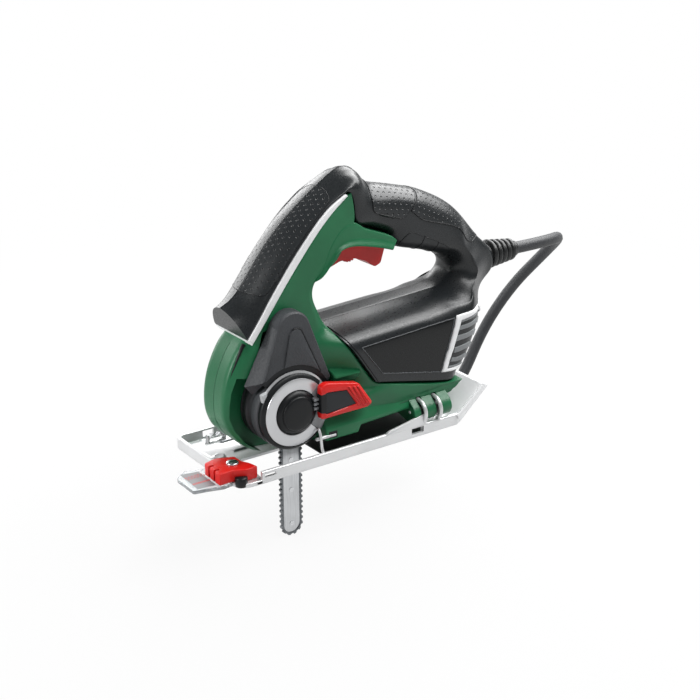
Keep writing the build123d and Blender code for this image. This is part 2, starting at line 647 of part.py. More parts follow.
with BuildPart() as drive_gear:
    first_tooth = MESH_ANGLE + 180 + 180 / DRIVE_TEETH
    extrude(gear_face((0, DRIVE_Z), GEAR_BACK_Y, DRIVE_TEETH, DRIVE_R, first_tooth, SHAFT_R), amount=GEAR_WIDTH)
    with BuildSketch(side(GEAR_BACK_Y)):
        with Locations((0, DRIVE_Z)):
            with PolarLocations(11, 6):
                Circle(2.6)
    extrude(amount=GEAR_WIDTH, mode=Mode.SUBTRACT)
keep(drive_gear, "drive_gear")

with BuildPart() as layshaft:
    extrude(round_face(LAY_X, MOTOR_Z, LAY_SHAFT_R, SHAFT_END_Y), amount=SHAFT_END_Y - 22.5)
keep(layshaft, "layshaft")

with BuildPart() as layshaft_pinion:
    extrude(gear_face((LAY_X, MOTOR_Z), GEAR_BACK_Y, LAY_TEETH, LAY_R, MESH_ANGLE, LAY_SHAFT_R), amount=GEAR_WIDTH)
keep(layshaft_pinion, "layshaft_pinion")

with BuildPart() as crown_gear:
    crown_tip_y = CROWN_PITCH_Y - TOOTH_TIP
    crown_root_y = CROWN_PITCH_Y + 1.0
    extrude(round_face(LAY_X, MOTOR_Z, CROWN_R + 2, crown_root_y + 3.5), amount=3.5)
    extrude(round_face(LAY_X, MOTOR_Z, 7, crown_root_y + 5.8), amount=3)
    with BuildSketch(side(crown_root_y)):
        with Locations((LAY_X, MOTOR_Z)):
            with PolarLocations(CROWN_R, CROWN_TEETH, start_angle=180 / CROWN_TEETH):
                Rectangle(3, TOOTH_THICK)
    extrude(amount=crown_root_y - crown_tip_y)
    extrude(round_face(LAY_X, MOTOR_Z, LAY_SHAFT_R, crown_root_y + 10), amount=20, mode=Mode.SUBTRACT)
keep(crown_gear, "crown_gear")

GEAR_PLATE = [(-14, 27, 5), (14, 27, 5), (30, 47, 5), (30, 69, 5), (8, 69, 5), (-14, 54, 5)]


with BuildPart() as gear_plates:
    for plate_y in (PLATE_NEAR_Y, PLATE_FAR_Y):
        extrude(outline(GEAR_PLATE, plate_y), amount=PLATE_THICK)
        extrude(round_face(0, DRIVE_Z, BEARING_R, plate_y), amount=PLATE_THICK, mode=Mode.SUBTRACT)
        extrude(round_face(LAY_X, MOTOR_Z, BEARING_R - 1, plate_y), amount=PLATE_THICK, mode=Mode.SUBTRACT)
keep(gear_plates, "gear_plates")

# Motor, front to rear
PINION_X = LAY_X + CROWN_R - 2.0
SHIELD_R = MOTOR_BAY_R - 0.1
FRONT_SHIELD_X = 47.0
FAN_X = 58.0
CORE_X = 76.0
CORE_LONG = 40.0
CORE_R = 18.2
STATOR_BORE = 19.0
COMMUTATOR_X = 121.0
COMMUTATOR_R = 11.0
REAR_SHIELD_X = 137.0
SHIELD_THICK = 7.0
MOTOR_BEARING_R = 7.0
BRUSH_X = 127.0

with BuildPart() as armature_shaft:
    extrude(motor_face(PINION_X, NOSE_SHAFT_R), amount=38 - PINION_X)
    extrude(motor_face(38, SHAFT_R), amount=108)
keep(armature_shaft, "armature_shaft")

with BuildPart() as motor_pinion:
    with BuildSketch(Plane.YZ.offset(PINION_X)):
        with Locations((MID_Y, MOTOR_Z)):
            Circle(MOTOR_R - TOOTH_ROOT)
            with PolarLocations(MOTOR_R - TOOTH_ROOT, MOTOR_TEETH):
                Rectangle(2 * TOOTH_TIP + 2 * TOOTH_ROOT - 0.35, TOOTH_THICK)
            Circle(MOTOR_R + TOOTH_TIP, mode=Mode.INTERSECT)
            Circle(NOSE_SHAFT_R, mode=Mode.SUBTRACT)
    extrude(amount=4.5)
keep(motor_pinion, "motor_pinion")

with BuildPart() as motor_fan:
    extrude(motor_face(FAN_X, 25, bore=SHAFT_R), amount=1.8)
    extrude(motor_face(FAN_X, 8, bore=SHAFT_R), amount=10)
    with BuildSketch(Plane.YZ.offset(FAN_X)):
        with Locations((MID_Y, MOTOR_Z)):
            with PolarLocations(15.8, 11):
                Rectangle(17, 1.4, rotation=25)
    extrude(amount=9)
keep(motor_fan, "motor_fan")

with BuildPart() as stator:
    extrude(motor_face(CORE_X - 2, SHIELD_R, bore=STATOR_BORE), amount=CORE_LONG + 4)
keep(stator, "stator")

with BuildPart() as armature_core:
    extrude(motor_face(CORE_X, CORE_R, bore=SHAFT_R), amount=CORE_LONG)
    with BuildSketch(Plane.YZ.offset(CORE_X)):
        with Locations((MID_Y, MOTOR_Z)):
            with PolarLocations(CORE_R - 2, 12):
                Rectangle(6, 2.2)
    extrude(amount=CORE_LONG, mode=Mode.SUBTRACT)
keep(armature_core, "armature_core")

with BuildPart() as commutator:
    extrude(motor_face(COMMUTATOR_X, COMMUTATOR_R, bore=SHAFT_R), amount=12)
    with BuildSketch(Plane.YZ.offset(COMMUTATOR_X)):
        with Locations((MID_Y, MOTOR_Z)):
            with PolarLocations(COMMUTATOR_R, 24):
                Rectangle(1.2, 0.5)
    extrude(amount=12, mode=Mode.SUBTRACT)
keep(commutator, "commutator")


with BuildPart() as end_shields:
    for shield_x in (FRONT_SHIELD_X, REAR_SHIELD_X):
        extrude(motor_face(shield_x, SHIELD_R, bore=MOTOR_BEARING_R), amount=SHIELD_THICK)
        with BuildSketch(Plane.YZ.offset(shield_x)):
            with Locations((MID_Y, MOTOR_Z)):
                with PolarLocations(18, 6):
                    Circle(5)
        extrude(amount=SHIELD_THICK, mode=Mode.SUBTRACT)
keep(end_shields, "end_shields")

with BuildPart() as bearings:
    for plate_y in (PLATE_NEAR_Y, PLATE_FAR_Y):
        extrude(round_face(0, DRIVE_Z, BEARING_R, plate_y, bore=SHAFT_R + RUN_GAP), amount=PLATE_THICK)
        lay_ring = round_face(LAY_X, MOTOR_Z, BEARING_R - 1, plate_y, bore=LAY_SHAFT_R + RUN_GAP)
        extrude(lay_ring, amount=PLATE_THICK)
    extrude(round_face(0, DRIVE_Z, BEARING_R, 13, bore=SHAFT_R + RUN_GAP), amount=5)
    for shield_x in (FRONT_SHIELD_X, REAR_SHIELD_X):
        extrude(motor_face(shield_x + 0.5, MOTOR_BEARING_R, bore=SHAFT_R + RUN_GAP), amount=6)
keep(bearings, "bearings")

with BuildPart() as brushes:
    with Locations((BRUSH_X, MID_Y - 16.8, MOTOR_Z), (BRUSH_X, MID_Y + 16.8, MOTOR_Z)):
        Box(6, 10.8, 5)
keep(brushes, "brushes")

with BuildPart() as brush_holders:
    with Locations((BRUSH_X, MID_Y - 18.5, MOTOR_Z), (BRUSH_X, MID_Y + 18.5, MOTOR_Z)):
        Box(9, 11, 8)
    with Locations((BRUSH_X + 6.5, MID_Y - 18.5, MOTOR_Z), (BRUSH_X + 6.5, MID_Y + 18.5, MOTOR_Z)):
        Box(7, 8, 8)
    add(brushes.part, mode=Mode.SUBTRACT)
keep(brush_holders, "brush_holders")

# Switch, trigger and speed wheel
TRIGGER_HALF = 9.0
TRIGGER = [
    (45, 127.5, 1.5), (47.5, 134, 2), (54.5, 142.5, 3), (60, 147, 2), (86, 141.5, 2), (93.5, 135, 2), (90, 124, 3),
    (85, 122, 3), (76, 128, 8), (66, 131.5, 10), (55, 131, 8),
]
WHEEL_PLACE = (66.5, 136.3)
WHEEL_R = 9.0
WHEEL_HALF = 3.5
WHEEL_RIBS = 24
WHEEL_PIN_R = 1.5
SPRING_X = 82.0
SPRING_R = 4.0
SPRING_LOW_Z = 138.0
SWITCH_LOW_Z = 154.0

with BuildPart() as wheel_pin:
    extrude(round_face(*WHEEL_PLACE, WHEEL_PIN_R, MID_Y + TRIGGER_HALF - 1), amount=2 * TRIGGER_HALF - 2)
keep(wheel_pin, "wheel_pin")

with BuildPart() as trigger_thumbwheel:
    extrude(round_face(*WHEEL_PLACE, WHEEL_R, MID_Y + WHEEL_HALF, bore=WHEEL_PIN_R + RUN_GAP), amount=2 * WHEEL_HALF)
    with BuildSketch(side(MID_Y + WHEEL_HALF)):
        with Locations(WHEEL_PLACE):
            with PolarLocations(WHEEL_R, WHEEL_RIBS):
                Rectangle(1.4, 1.1)
    extrude(amount=2 * WHEEL_HALF, mode=Mode.SUBTRACT)
keep(trigger_thumbwheel, "trigger_thumbwheel")

with BuildPart() as trigger:
    extrude(outline(TRIGGER, MID_Y + TRIGGER_HALF), amount=2 * TRIGGER_HALF)
    extrude(round_face(*WHEEL_PLACE, WHEEL_R + 0.6, MID_Y + WHEEL_HALF + 0.5), amount=2 * WHEEL_HALF + 1, mode=Mode.SUBTRACT)
    with BuildSketch(Plane.XY.offset(SPRING_LOW_Z)):
        with Locations((SPRING_X, MID_Y)):
            Circle(SPRING_R + 0.6)
    extrude(amount=20, mode=Mode.SUBTRACT)
    add(wheel_pin.part, mode=Mode.SUBTRACT)
keep(trigger, "trigger")

with BuildPart() as trigger_spring:
    with BuildSketch(Plane.XY.offset(SPRING_LOW_Z)):
        with Locations((SPRING_X, MID_Y)):
            Circle(SPRING_R)
            Circle(SPRING_R - 1.0, mode=Mode.SUBTRACT)
    extrude(amount=SWITCH_LOW_Z - SPRING_LOW_Z)
keep(trigger_spring, "trigger_spring")

with BuildPart() as switch_module:
    with Locations((88, MID_Y, SWITCH_LOW_Z)):
        Box(34, 26, 12.5, align=(Align.CENTER, Align.CENTER, Align.MIN))
keep(switch_module, "switch_module")

# Sole plate and its fittings
SHEET_SIDE = [
    (PLATE_FRONT, 0, 0), (PLATE_REAR, 0, 0), (164.5, 24.5, 0), (162.4, 26.7, 0), (PLATE_REAR - 1.2, SHEET, 0),
    (PLATE_FRONT, SHEET, 0),
]
RIM_FRONT = -34.0
RIM = 3.0
BLADE_SLOT = [(-30, -13, 1), (12, -13, 1), (12, -3, 0), (30, -3, 1), (30, 24, 1), (-30, 24, 1)]
GUIDE_WINDOWS = ((-31.0, -22.0), (92.0, 103.0))
PLATE_HOLE = (-36.4, 34.5)
PLATE_HOLE_R = 3.0
TABS_X = (-31.0, -18.0)
TABS_Y = 60.0


def flat(corners, z):
    """A face in the plan view: corners (x, y, radius) joined by lines and arcs."""
    with BuildSketch(Plane.XY.offset(z)) as face:
        with BuildLine():
            FilletPolyline(*[(x, y) for x, y, r in corners], radius=[r for x, y, r in corners], close=True)
        make_face()
    return face.sketch


def rim_side(front_x):
    """Side view of a long rim, which follows the ramp at the rear."""
    return [
        (front_x, 0, 0), (PLATE_REAR, 0, 0), (164.5, 24.5, 0), (160.6, 29, 2), (PLATE_REAR - 2.6, RIM_Z, 6),
        (front_x, RIM_Z, 2),
    ]


GUIDE_SCREW = (-44.0, -2.0)
GUIDE_TOP_Z = 14.0
CUT_GUIDE = [
    (-60, -12, 2), (-60, 12, 2), (-51, 14, 3), (-39, 10, 3), (-36.5, -5, 2), (-35, -13.5, 1), (-43, -15.5, 3),
]
NOTCHES_Y = (0.0, 9.0)
CUT_WINDOW = [
    (-78, -4, 2), (-78, 19, 3), (-69, 26, 4), (-57, 22, 3), (-50.3, 22, 0), (-50.3, -8, 0), (-58, -9, 2), (-68, -6, 3),
]

with BuildPart() as cut_guide_screw:
    with BuildSketch(Plane.XY.offset(GUIDE_TOP_Z)):
        with Locations(GUIDE_SCREW):
            Circle(4.5)
    extrude(amount=2.2)
    with BuildSketch(Plane.XY.offset(GUIDE_TOP_Z + 1.2)):
        with Locations(GUIDE_SCREW):
            Rectangle(6, 1.1)
            Rectangle(1.1, 6)
    extrude(amount=2, mode=Mode.SUBTRACT)
    with BuildSketch(Plane.XY.offset(0.5)):
        with Locations(GUIDE_SCREW):
            Circle(2.0)
    extrude(amount=GUIDE_TOP_Z - 0.5)
keep(cut_guide_screw, "cut_guide_screw")

with BuildPart() as sole_plate:
    extrude(outline(SHEET_SIDE, PLATE_FAR), amount=PLATE_FAR - PLATE_NEAR)
    extrude(outline(rim_side(RIM_FRONT), PLATE_NEAR + RIM), amount=RIM)
    extrude(outline(rim_side(PLATE_FRONT), PLATE_FAR), amount=RIM)
    with Locations((PLATE_FRONT, 15, 0)):
        Box(RIM, PLATE_FAR - 15, RIM_Z, align=Align.MIN)
    extrude(flat(BLADE_SLOT, -1), amount=6, mode=Mode.SUBTRACT)
    for window_front, window_rear in GUIDE_WINDOWS:
        for rim_y in (PLATE_NEAR, PLATE_FAR - RIM):
            with Locations((window_front, rim_y - 1, SHEET + 0.2)):
                Box(window_rear - window_front, RIM + 2, 4.8, align=Align.MIN, mode=Mode.SUBTRACT)
    for ridge_y in (36.0, 54.0):
        with BuildSketch(Plane.YZ.offset(-26)):
            with Locations((ridge_y, SHEET)):
                Circle(1.4)
        extrude(amount=110)
    for tab_x in (TABS_X[0] - 1.2, TABS_X[1]):
        with Locations((tab_x, TABS_Y - 2.5, SHEET)):
            Box(1.2, 5, 6.5, align=Align.MIN)
    for hook_x in HOOKS_X:
        with BuildSketch(Plane.YZ.offset(hook_x - HOOK_THICK / 2)):
            with Locations((HINGE_Y, HINGE_Z)):
                Circle(HOOK_R)
            with Locations((HINGE_Y - 1.5, 1.5)):
                Rectangle(5.5, HINGE_Z - 6, align=(Align.CENTER, Align.MIN))
            with Locations((HINGE_Y, HINGE_Z)):
                Circle(HINGE_PIN_R + RUN_GAP, mode=Mode.SUBTRACT)
        extrude(amount=HOOK_THICK)
    with Locations((*PLATE_HOLE, SHEET)):
        Hole(PLATE_HOLE_R)
    add(cut_guide_screw.part, mode=Mode.SUBTRACT)
keep(sole_plate, "sole_plate")

with BuildPart() as guide_spring:
    with BuildSketch(side(TABS_Y + 2)):
        with BuildLine():
            FilletPolyline(
                (-31, 5), (-27.6, 7.6), (-24.5, 5.4), (-21.4, 7.6), (-18, 5), (-18, 4.2), (-21.4, 6.8), (-24.5, 4.6),
                (-27.6, 6.8), (-31, 4.2), radius=[0, 1, 1, 1, 0, 0, 1, 1, 1, 0], close=True,
            )
        make_face()
    extrude(amount=4)
keep(guide_spring, "guide_spring")

with BuildPart() as cut_guide:
    extrude(flat(CUT_GUIDE, SHEET), amount=GUIDE_TOP_Z - SHEET)
    chamfer(cut_guide.faces().sort_by(Axis.Z)[-1].edges(), 0.8)
    for notch_y in NOTCHES_Y:
        with Locations((-60, notch_y, GUIDE_TOP_Z)):
            Box(9, 2.6, 30, mode=Mode.SUBTRACT)
    add(cut_guide_screw.part, mode=Mode.SUBTRACT)
keep(cut_guide, "cut_guide")

with BuildPart() as cut_window:
    extrude(flat(CUT_WINDOW, 0.5), amount=SHEET - 0.5)
keep(cut_window, "cut_window")

# Strain relief
BOOT_START_X = 201.0
BOOT_RIBS = 5
BOOT_BASE_R = 10.4
BOOT_TIP_R = 7.2
SOCKET_R = 7.0
BOOT_AXIS = Axis((0, MID_Y, CORD_Z), (1, 0, 0))

boot_edge = [(190, CORD_Z), (190, CORD_Z + SOCKET_R), (BOOT_START_X, CORD_Z + SOCKET_R)]
rib_step = (BOOT_END_X - BOOT_START_X) / BOOT_RIBS
for k in range(BOOT_RIBS):
    rib_x = BOOT_START_X + rib_step * k
    rib_r = BOOT_BASE_R + (BOOT_TIP_R - BOOT_BASE_R) * k / (BOOT_RIBS - 1)
    boot_edge += [(rib_x, CORD_Z + rib_r), (rib_x + 0.62 * rib_step, CORD_Z + rib_r - 0.4)]
    boot_edge += [(rib_x + 0.7 * rib_step, CORD_Z + rib_r - 1.6), (rib_x + rib_step, CORD_Z + rib_r - 1.8)]
boot_edge.append((BOOT_END_X, CORD_Z))

with BuildPart() as strain_relief:
    with BuildSketch(side(MID_Y)):
        with BuildLine():
            Polyline(*boot_edge, close=True)
        make_face()
    revolve(axis=BOOT_AXIS)
keep(strain_relief, "strain_relief")

# Cord: the free stretch from the boot to the floor behind the tool
COIL_Z = FLOOR_Z + TIE_THICK + 0.2 + CORD_D / 2
COIL_ENTRY = (COIL_X + CORD_D, COIL_Y - COIL_OUT_R, COIL_Z)
ROUTE = [
    (BOOT_END_X, MID_Y, CORD_Z), (262, MID_Y, CORD_Z), (296, 48, 104), (310.7, 79.5, 80.5), (299.2, 107, 45.5),
    (276, 116, 8), (248, 109, -30), (222, 106, -47), (194, COIL_Y - COIL_OUT_R, COIL_Z), COIL_ENTRY,
]


def bend_radius(before, here, after):
    """The largest arc that the two runs allow, with room left for the next."""
    run_in = Vector(*here) - Vector(*before)
    run_out = Vector(*after) - Vector(*here)
    turn = radians(run_in.get_angle(run_out))
    return 0.45 * min(run_in.length, run_out.length) / tan(turn / 2)


ROUTE_RADII = [bend_radius(*ROUTE[k - 1:k + 2]) for k in range(1, len(ROUTE) - 1)]
print("cord radii in diameters", [round(r / CORD_D, 1) for r in ROUTE_RADII])

with BuildPart() as power_cord:
    with BuildLine() as cord_line:
        FilletPolyline(*ROUTE, radius=ROUTE_RADII)
    with BuildSketch(Plane(origin=ROUTE[0], z_dir=(1, 0, 0))):
        Circle(CORD_D / 2)
    sweep(path=cord_line.wire())
keep(power_cord, "power_cord")
cord_length = cord_line.wire().length
print("cord volume ratio", round(power_cord.part.volume / (cord_length * pi * CORD_D ** 2 / 4), 4))

# Coil: inwards on the floor, a half turn that climbs, and outwards on top
COIL_TURNS = 2 * LAYER_TURNS + 0.5
STEPS_PER_TURN = 4


def coil_point(turn):
    """A point of the coil's centre line, this many turns after it begins."""
    if turn <= LAYER_TURNS + 0.25:
        inward = turn
    else:
        inward = COIL_TURNS - turn
    climb = min(max(2 * (turn - LAYER_TURNS), 0.0), 1.0)
    climb = climb * climb * (3 - 2 * climb)
    reach = COIL_OUT_R - COIL_STEP * inward
    angle = radians(COIL_START - 360 * turn)
    return Vector(COIL_X + reach * cos(angle), COIL_Y + reach * sin(angle), COIL_Z + COIL_STEP * climb)


def coil_heading(turn):
    """The direction of the coil's centre line there; level and square at its two ends."""
    if turn in (0.0, COIL_TURNS):
        angle = radians(COIL_START - 360 * turn)
        return Vector(sin(angle), -cos(angle), 0)
    return (coil_point(turn + 0.01) - coil_point(turn - 0.01)).normalized()


def biarc_joint(start, start_heading, end, end_heading):
    """Where two tangent arcs of equal reach meet between two points with given headings."""
    chord = end - start
    headings = start_heading + end_heading
    spread = 2 * (1 - start_heading.dot(end_heading))
    along = chord.dot(headings)
    reach = (-along + sqrt(along * along + spread * chord.dot(chord))) / spread
    return (start + end + (start_heading - end_heading) * reach) / 2


with BuildPart() as cord_coil:
    with BuildLine() as coil_line:
        Line(COIL_ENTRY, tuple(coil_point(0.0)))
        for k in range(int(COIL_TURNS * STEPS_PER_TURN)):
            turn_a = k / STEPS_PER_TURN
            turn_b = (k + 1) / STEPS_PER_TURN
            heading_a = coil_heading(turn_a)
            joint = biarc_joint(coil_point(turn_a), heading_a, coil_point(turn_b), coil_heading(turn_b))
            first_arc = TangentArc(coil_point(turn_a), joint, tangent=heading_a)
            TangentArc(joint, coil_point(turn_b), tangent=first_arc % 1)
        Line(coil_point(COIL_TURNS), coil_point(COIL_TURNS) + Vector(COIL_TAIL, 0, 0))
    with BuildSketch(Plane(origin=COIL_ENTRY, z_dir=(-1, 0, 0))):
        Circle(CORD_D / 2)
    sweep(path=coil_line.wire())
keep(cord_coil, "cord_coil")
coil_length = coil_line.wire().length
print("coil length", round(coil_length), "cord length", round(cord_length + coil_length))
print("coil volume ratio", round(cord_coil.part.volume / (coil_length * pi * CORD_D ** 2 / 4), 4))

SAMPLES = 500
coil_path = coil_line.wire()
coil_samples = [coil_path @ (k / SAMPLES) for k in range(SAMPLES + 1)]
skip = int(3 * CORD_D / coil_length * SAMPLES) + 1
spans = [(coil_samples[a] - coil_samples[b]).length for b in range(skip, SAMPLES + 1) for a in range(b - skip + 1)]
least_gap = min(spans) - CORD_D
print("coil least gap", round(least_gap, 2))

# Tie round the coil, plug and pins
TIE_LONG = 14.0
TIE_PLACE = (COIL_X - COIL_OUT_R + 12.4, COIL_Y)
PLUG_X = COIL_X + COIL_TAIL
PLUG_Y = COIL_Y + COIL_OUT_R
PLUG_Z = COIL_Z + COIL_STEP
PLUG_HALF = 14.0
PINS_APART = 19.0

with BuildPart() as cord_tie:
    with BuildSketch(Plane.XZ.offset(-COIL_Y - TIE_LONG / 2)):
        with Locations((TIE_PLACE[0], COIL_Z + COIL_STEP / 2)):
            RectangleRounded(40.5, CORD_D + COIL_STEP + 2.4, 4)
            RectangleRounded(38.5, CORD_D + COIL_STEP + 0.4, 3, mode=Mode.SUBTRACT)
    extrude(amount=TIE_LONG)
keep(cord_tie, "cord_tie")

with BuildPart() as plug:
    for part_x, half_width, half_height in ((0.0, 7.0, 7.0), (10.0, 17.0, 13.0), (38.0, 18.5, PLUG_HALF), (46.0, 17.0, 13.0)):
        with BuildSketch(Plane.YZ.offset(PLUG_X + part_x)):
            with Locations((PLUG_Y, PLUG_Z)):
                RectangleRounded(2 * half_width, 2 * half_height, half_height * 0.6)
    loft(ruled=True)
keep(plug, "plug")

with BuildPart() as plug_pins:
    for pin_y in (PLUG_Y - PINS_APART / 2, PLUG_Y + PINS_APART / 2):
        with BuildSketch(Plane.YZ.offset(PLUG_X + 46)):
            with Locations((pin_y, PLUG_Z)):
                Circle(2.4)
        extrude(amount=19)
keep(plug_pins, "plug_pins")
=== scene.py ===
"""Looks of a corded mini saw: casings, grips, clamp, sole and cord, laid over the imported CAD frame."""
import json
import math

import bpy
import numpy as np
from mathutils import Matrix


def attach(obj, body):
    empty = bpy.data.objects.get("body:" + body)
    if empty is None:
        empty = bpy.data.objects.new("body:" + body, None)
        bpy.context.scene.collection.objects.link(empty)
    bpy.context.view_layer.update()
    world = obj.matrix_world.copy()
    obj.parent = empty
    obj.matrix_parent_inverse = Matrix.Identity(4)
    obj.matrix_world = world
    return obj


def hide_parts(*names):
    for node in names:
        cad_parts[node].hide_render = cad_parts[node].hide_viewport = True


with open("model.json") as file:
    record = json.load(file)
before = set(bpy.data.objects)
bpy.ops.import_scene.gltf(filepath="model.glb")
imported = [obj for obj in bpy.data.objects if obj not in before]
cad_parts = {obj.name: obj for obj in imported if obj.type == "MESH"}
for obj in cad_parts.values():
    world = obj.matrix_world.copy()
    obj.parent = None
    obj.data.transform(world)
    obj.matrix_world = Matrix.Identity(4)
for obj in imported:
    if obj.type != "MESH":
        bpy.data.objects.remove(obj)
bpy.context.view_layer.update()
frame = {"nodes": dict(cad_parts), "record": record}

nodes = frame["nodes"]

MM = 0.001
MID_Y = 27.0


# Camera

CAMERA_TURN = 35.6
CAMERA_DIP = 20.5
CAMERA_PLACE = (-0.4357, -0.6793, 0.3847)
CAMERA_LENS = 66.34
camera = bpy.data.objects.new("photo_camera", bpy.data.cameras.new("photo_camera"))
bpy.context.collection.objects.link(camera)
camera.location = CAMERA_PLACE
camera.rotation_euler = (math.radians(90 - CAMERA_DIP), 0, math.radians(-CAMERA_TURN))
camera.data.sensor_width = 36
camera.data.lens = CAMERA_LENS
camera.data.clip_start = 0.01
bpy.context.scene.camera = camera
bpy.context.scene.view_settings.view_transform = "Standard"


# Shop tools: node wiring and finishes

def linear(code):
    """A colour from its six hex digits, as linear light with alpha 1."""
    parts = np.array([int(code[k:k + 2], 16) for k in (0, 2, 4)]) / 255
    light = np.where(parts <= 0.04045, parts / 12.92, ((parts + 0.055) / 1.055) ** 2.4)
    return (*light.tolist(), 1.0)


class Wiring:
    """A node tree. put() adds a node, fills its sockets by name or place, and returns it."""

    def __init__(self, holder):
        holder.use_nodes = True
        self.tree = holder.node_tree

    def put(self, kind, settings=None, **sockets):
        node = self.tree.nodes.new("ShaderNode" + kind)
        for key, value in (settings or {}).items():
            setattr(node, key, value)
        self.fill(node, **sockets)
        return node

    def fill(self, node, **sockets):
        for key, value in sockets.items():
            socket = node.inputs[int(key[1:])] if key[1:].isdigit() else node.inputs[key.replace("_", " ")]
            if isinstance(value, bpy.types.Node):
                self.tree.links.new(value.outputs[0], socket)
            elif isinstance(value, bpy.types.NodeSocket):
                self.tree.links.new(value, socket)
            else:
                socket.default_value = value

    def sums(self, operation, first, second=0.0):
        return self.put("Math", {"operation": operation}, s0=first, s1=second)

    def ramp(self, source, low, high, to_low=0.0, to_high=1.0):
        return self.put("MapRange", {"interpolation_type": "SMOOTHSTEP"}, Value=source, From_Min=low,
                        From_Max=high, To_Min=to_low, To_Max=to_high)

    def blend(self, factor, first, second):
        node = self.put("Mix", {"data_type": "RGBA"})
        self.fill(node, Factor=factor)
        self.fill(node, s6=first, s7=second)
        return node.outputs[2]


class Paint(Wiring):
    """A new material's node tree, with its shader and output at hand."""

    def __init__(self, name):
        self.material = bpy.data.materials.new(name)
        super().__init__(self.material)
        self.shader = self.tree.nodes["Principled BSDF"]
        self.out = self.tree.nodes["Material Output"]


def shade(code, by):
    """A colour code made lighter (by > 1) or darker (by < 1) in linear light."""
    light = linear(code)
    return (*[min(1.0, c * by) for c in light[:3]], 1.0)


def moulding(name, code, rough, grain=900, depth=0.05, patch=0.10, spread=0.06, metal=0.0, **sockets):
    """A moulded or cast finish: slow colour patches, fine grain in the relief, roughness that wanders."""
    paint = Paint(name)
    place = paint.put("TexCoord").outputs["Object"]
    slow = paint.put("TexNoise", Vector=place, Scale=34.0, Detail=3.0)
    fine = paint.put("TexNoise", Vector=place, Scale=float(grain), Detail=2.0)
    colour = paint.blend(paint.ramp(slow, 0.3, 0.7), shade(code, 1 - patch), shade(code, 1 + patch))
    relief = paint.put("Bump", Height=fine, Strength=depth, Distance=0.0006)
    paint.fill(paint.shader, Base_Color=colour, Metallic=metal, Normal=relief,
               Roughness=paint.ramp(fine, 0.25, 0.75, rough - spread, rough + spread), **sockets)
    return paint.material


def brushed(name, code, rough, stretch=(900, 40, 900), depth=0.08, **sockets):
    """A metal with fine lines drawn out along one axis, in its relief, tone and roughness."""
    paint = Paint(name)
    place = paint.put("TexCoord").outputs["Object"]
    drawn = paint.put("Mapping", Vector=place, Scale=stretch)
    lines = paint.put("TexNoise", Vector=drawn, Scale=1.0, Detail=3.0)
    slow = paint.put("TexNoise", Vector=place, Scale=45.0, Detail=2.0)
    tone = paint.sums("ADD", paint.sums("MULTIPLY", lines, 0.6), paint.sums("MULTIPLY", slow, 0.4))
    colour = paint.blend(paint.ramp(tone, 0.3, 0.7), shade(code, 0.82), shade(code, 1.1))
    relief = paint.put("Bump", Height=lines, Strength=depth, Distance=0.0004)
    paint.fill(paint.shader, Base_Color=colour, Metallic=1.0, Normal=relief,
               Roughness=paint.ramp(tone, 0.25, 0.75, rough - 0.07, rough + 0.09), **sockets)
    return paint.material


PIT_ROW, PIT_STEP = 4.1, 5.0


def dimpled(name, code, rough):
    """A soft moulding with staggered rows of small pits, laid out in millimetres by the pad's own map. The
    pits get
    painted shade: their centres are darker.
    """
    paint = Paint(name)
    flat = paint.put("SeparateXYZ", Vector=paint.put("UVMap", {"uv_map": "surface_mm"}))
    row = paint.sums("MULTIPLY", flat.outputs["Y"], 1 / PIT_ROW)
    step = paint.sums("FLOOR", row)
    shift = paint.sums("MULTIPLY", paint.sums("FLOORED_MODULO", step, 2.0), 0.5)
    column = paint.sums("ADD", paint.sums("MULTIPLY", flat.outputs["X"], 1 / PIT_STEP), shift)
    aside = paint.sums("MULTIPLY", paint.sums("SUBTRACT", paint.sums("FRACT", column), 0.5), PIT_STEP)
    above = paint.sums("MULTIPLY", paint.sums("SUBTRACT", paint.sums("FRACT", row), 0.5), PIT_ROW)
    spot = paint.put("CombineXYZ", X=aside, Y=above)
    reach = paint.put("VectorMath", {"operation": "LENGTH"}, s0=spot).outputs["Value"]
    pit = paint.ramp(reach, 0.35, 0.95)
    place = paint.put("TexCoord").outputs["Object"]
    fine = paint.put("TexNoise", Vector=place, Scale=1400.0, Detail=2.0)
    height = paint.sums("ADD", pit, paint.sums("MULTIPLY", fine, 0.10))
    # Painted shade in the pits: each pit's centre is painted down to a quarter of the pad's colour.
    paint.fill(paint.shader, Base_Color=paint.blend(pit, shade(code, 0.25), linear(code)),
               Normal=paint.put("Bump", Height=height, Strength=0.8, Distance=0.0007),
               Roughness=paint.ramp(fine, 0.25, 0.75, rough - 0.05, rough + 0.06), Specular_IOR_Level=0.4)
    return paint.material


SLOT_EDGE = (0.20, 0.27)


def louvred(name, code):
    """Vent bars and the slots between them, told apart by the grille's own map (v counts the bars). The slots
    get painted shade, near black, with a painted glint along one edge.
    """
    paint = Paint(name)
    flat = paint.put("SeparateXYZ", Vector=paint.put("UVMap", {"uv_map": "surface_mm"}))
    phase = paint.sums("FRACT", flat.outputs["Y"])
    away = paint.sums("ABSOLUTE", paint.sums("SUBTRACT", phase, 0.5))
    slot = paint.ramp(away, *SLOT_EDGE, 1.0, 0.0)
    lines = paint.put("TexWave", Vector=paint.put("TexCoord").outputs["Object"], Scale=220.0, Distortion=0.4)
    glint = paint.ramp(phase, 0.55, 0.70)
    # Painted shade in the slots: near black, with a painted green glint along one edge, and their specular
    # level falls to nothing.
    painted_slot_shade = paint.blend(glint, linear("050706"), linear("12402a"))
    paint.fill(paint.shader, Base_Color=paint.blend(slot, linear(code), painted_slot_shade),
               Roughness=paint.ramp(lines, 0.2, 0.8, 0.38, 0.52),
               Specular_IOR_Level=paint.ramp(away, *SLOT_EDGE, 0.0, 0.35),
               Normal=paint.put("Bump", Height=lines, Strength=0.25, Distance=0.0004))
    return paint.material


# Shop tools: lofted shells and mesh making

BAR_FOOT = np.array([-27.7, 93.87])
BAR_RUN = np.array([0.6494, 0.7604])
BAR_RISE = np.array([-0.7604, 0.6494])


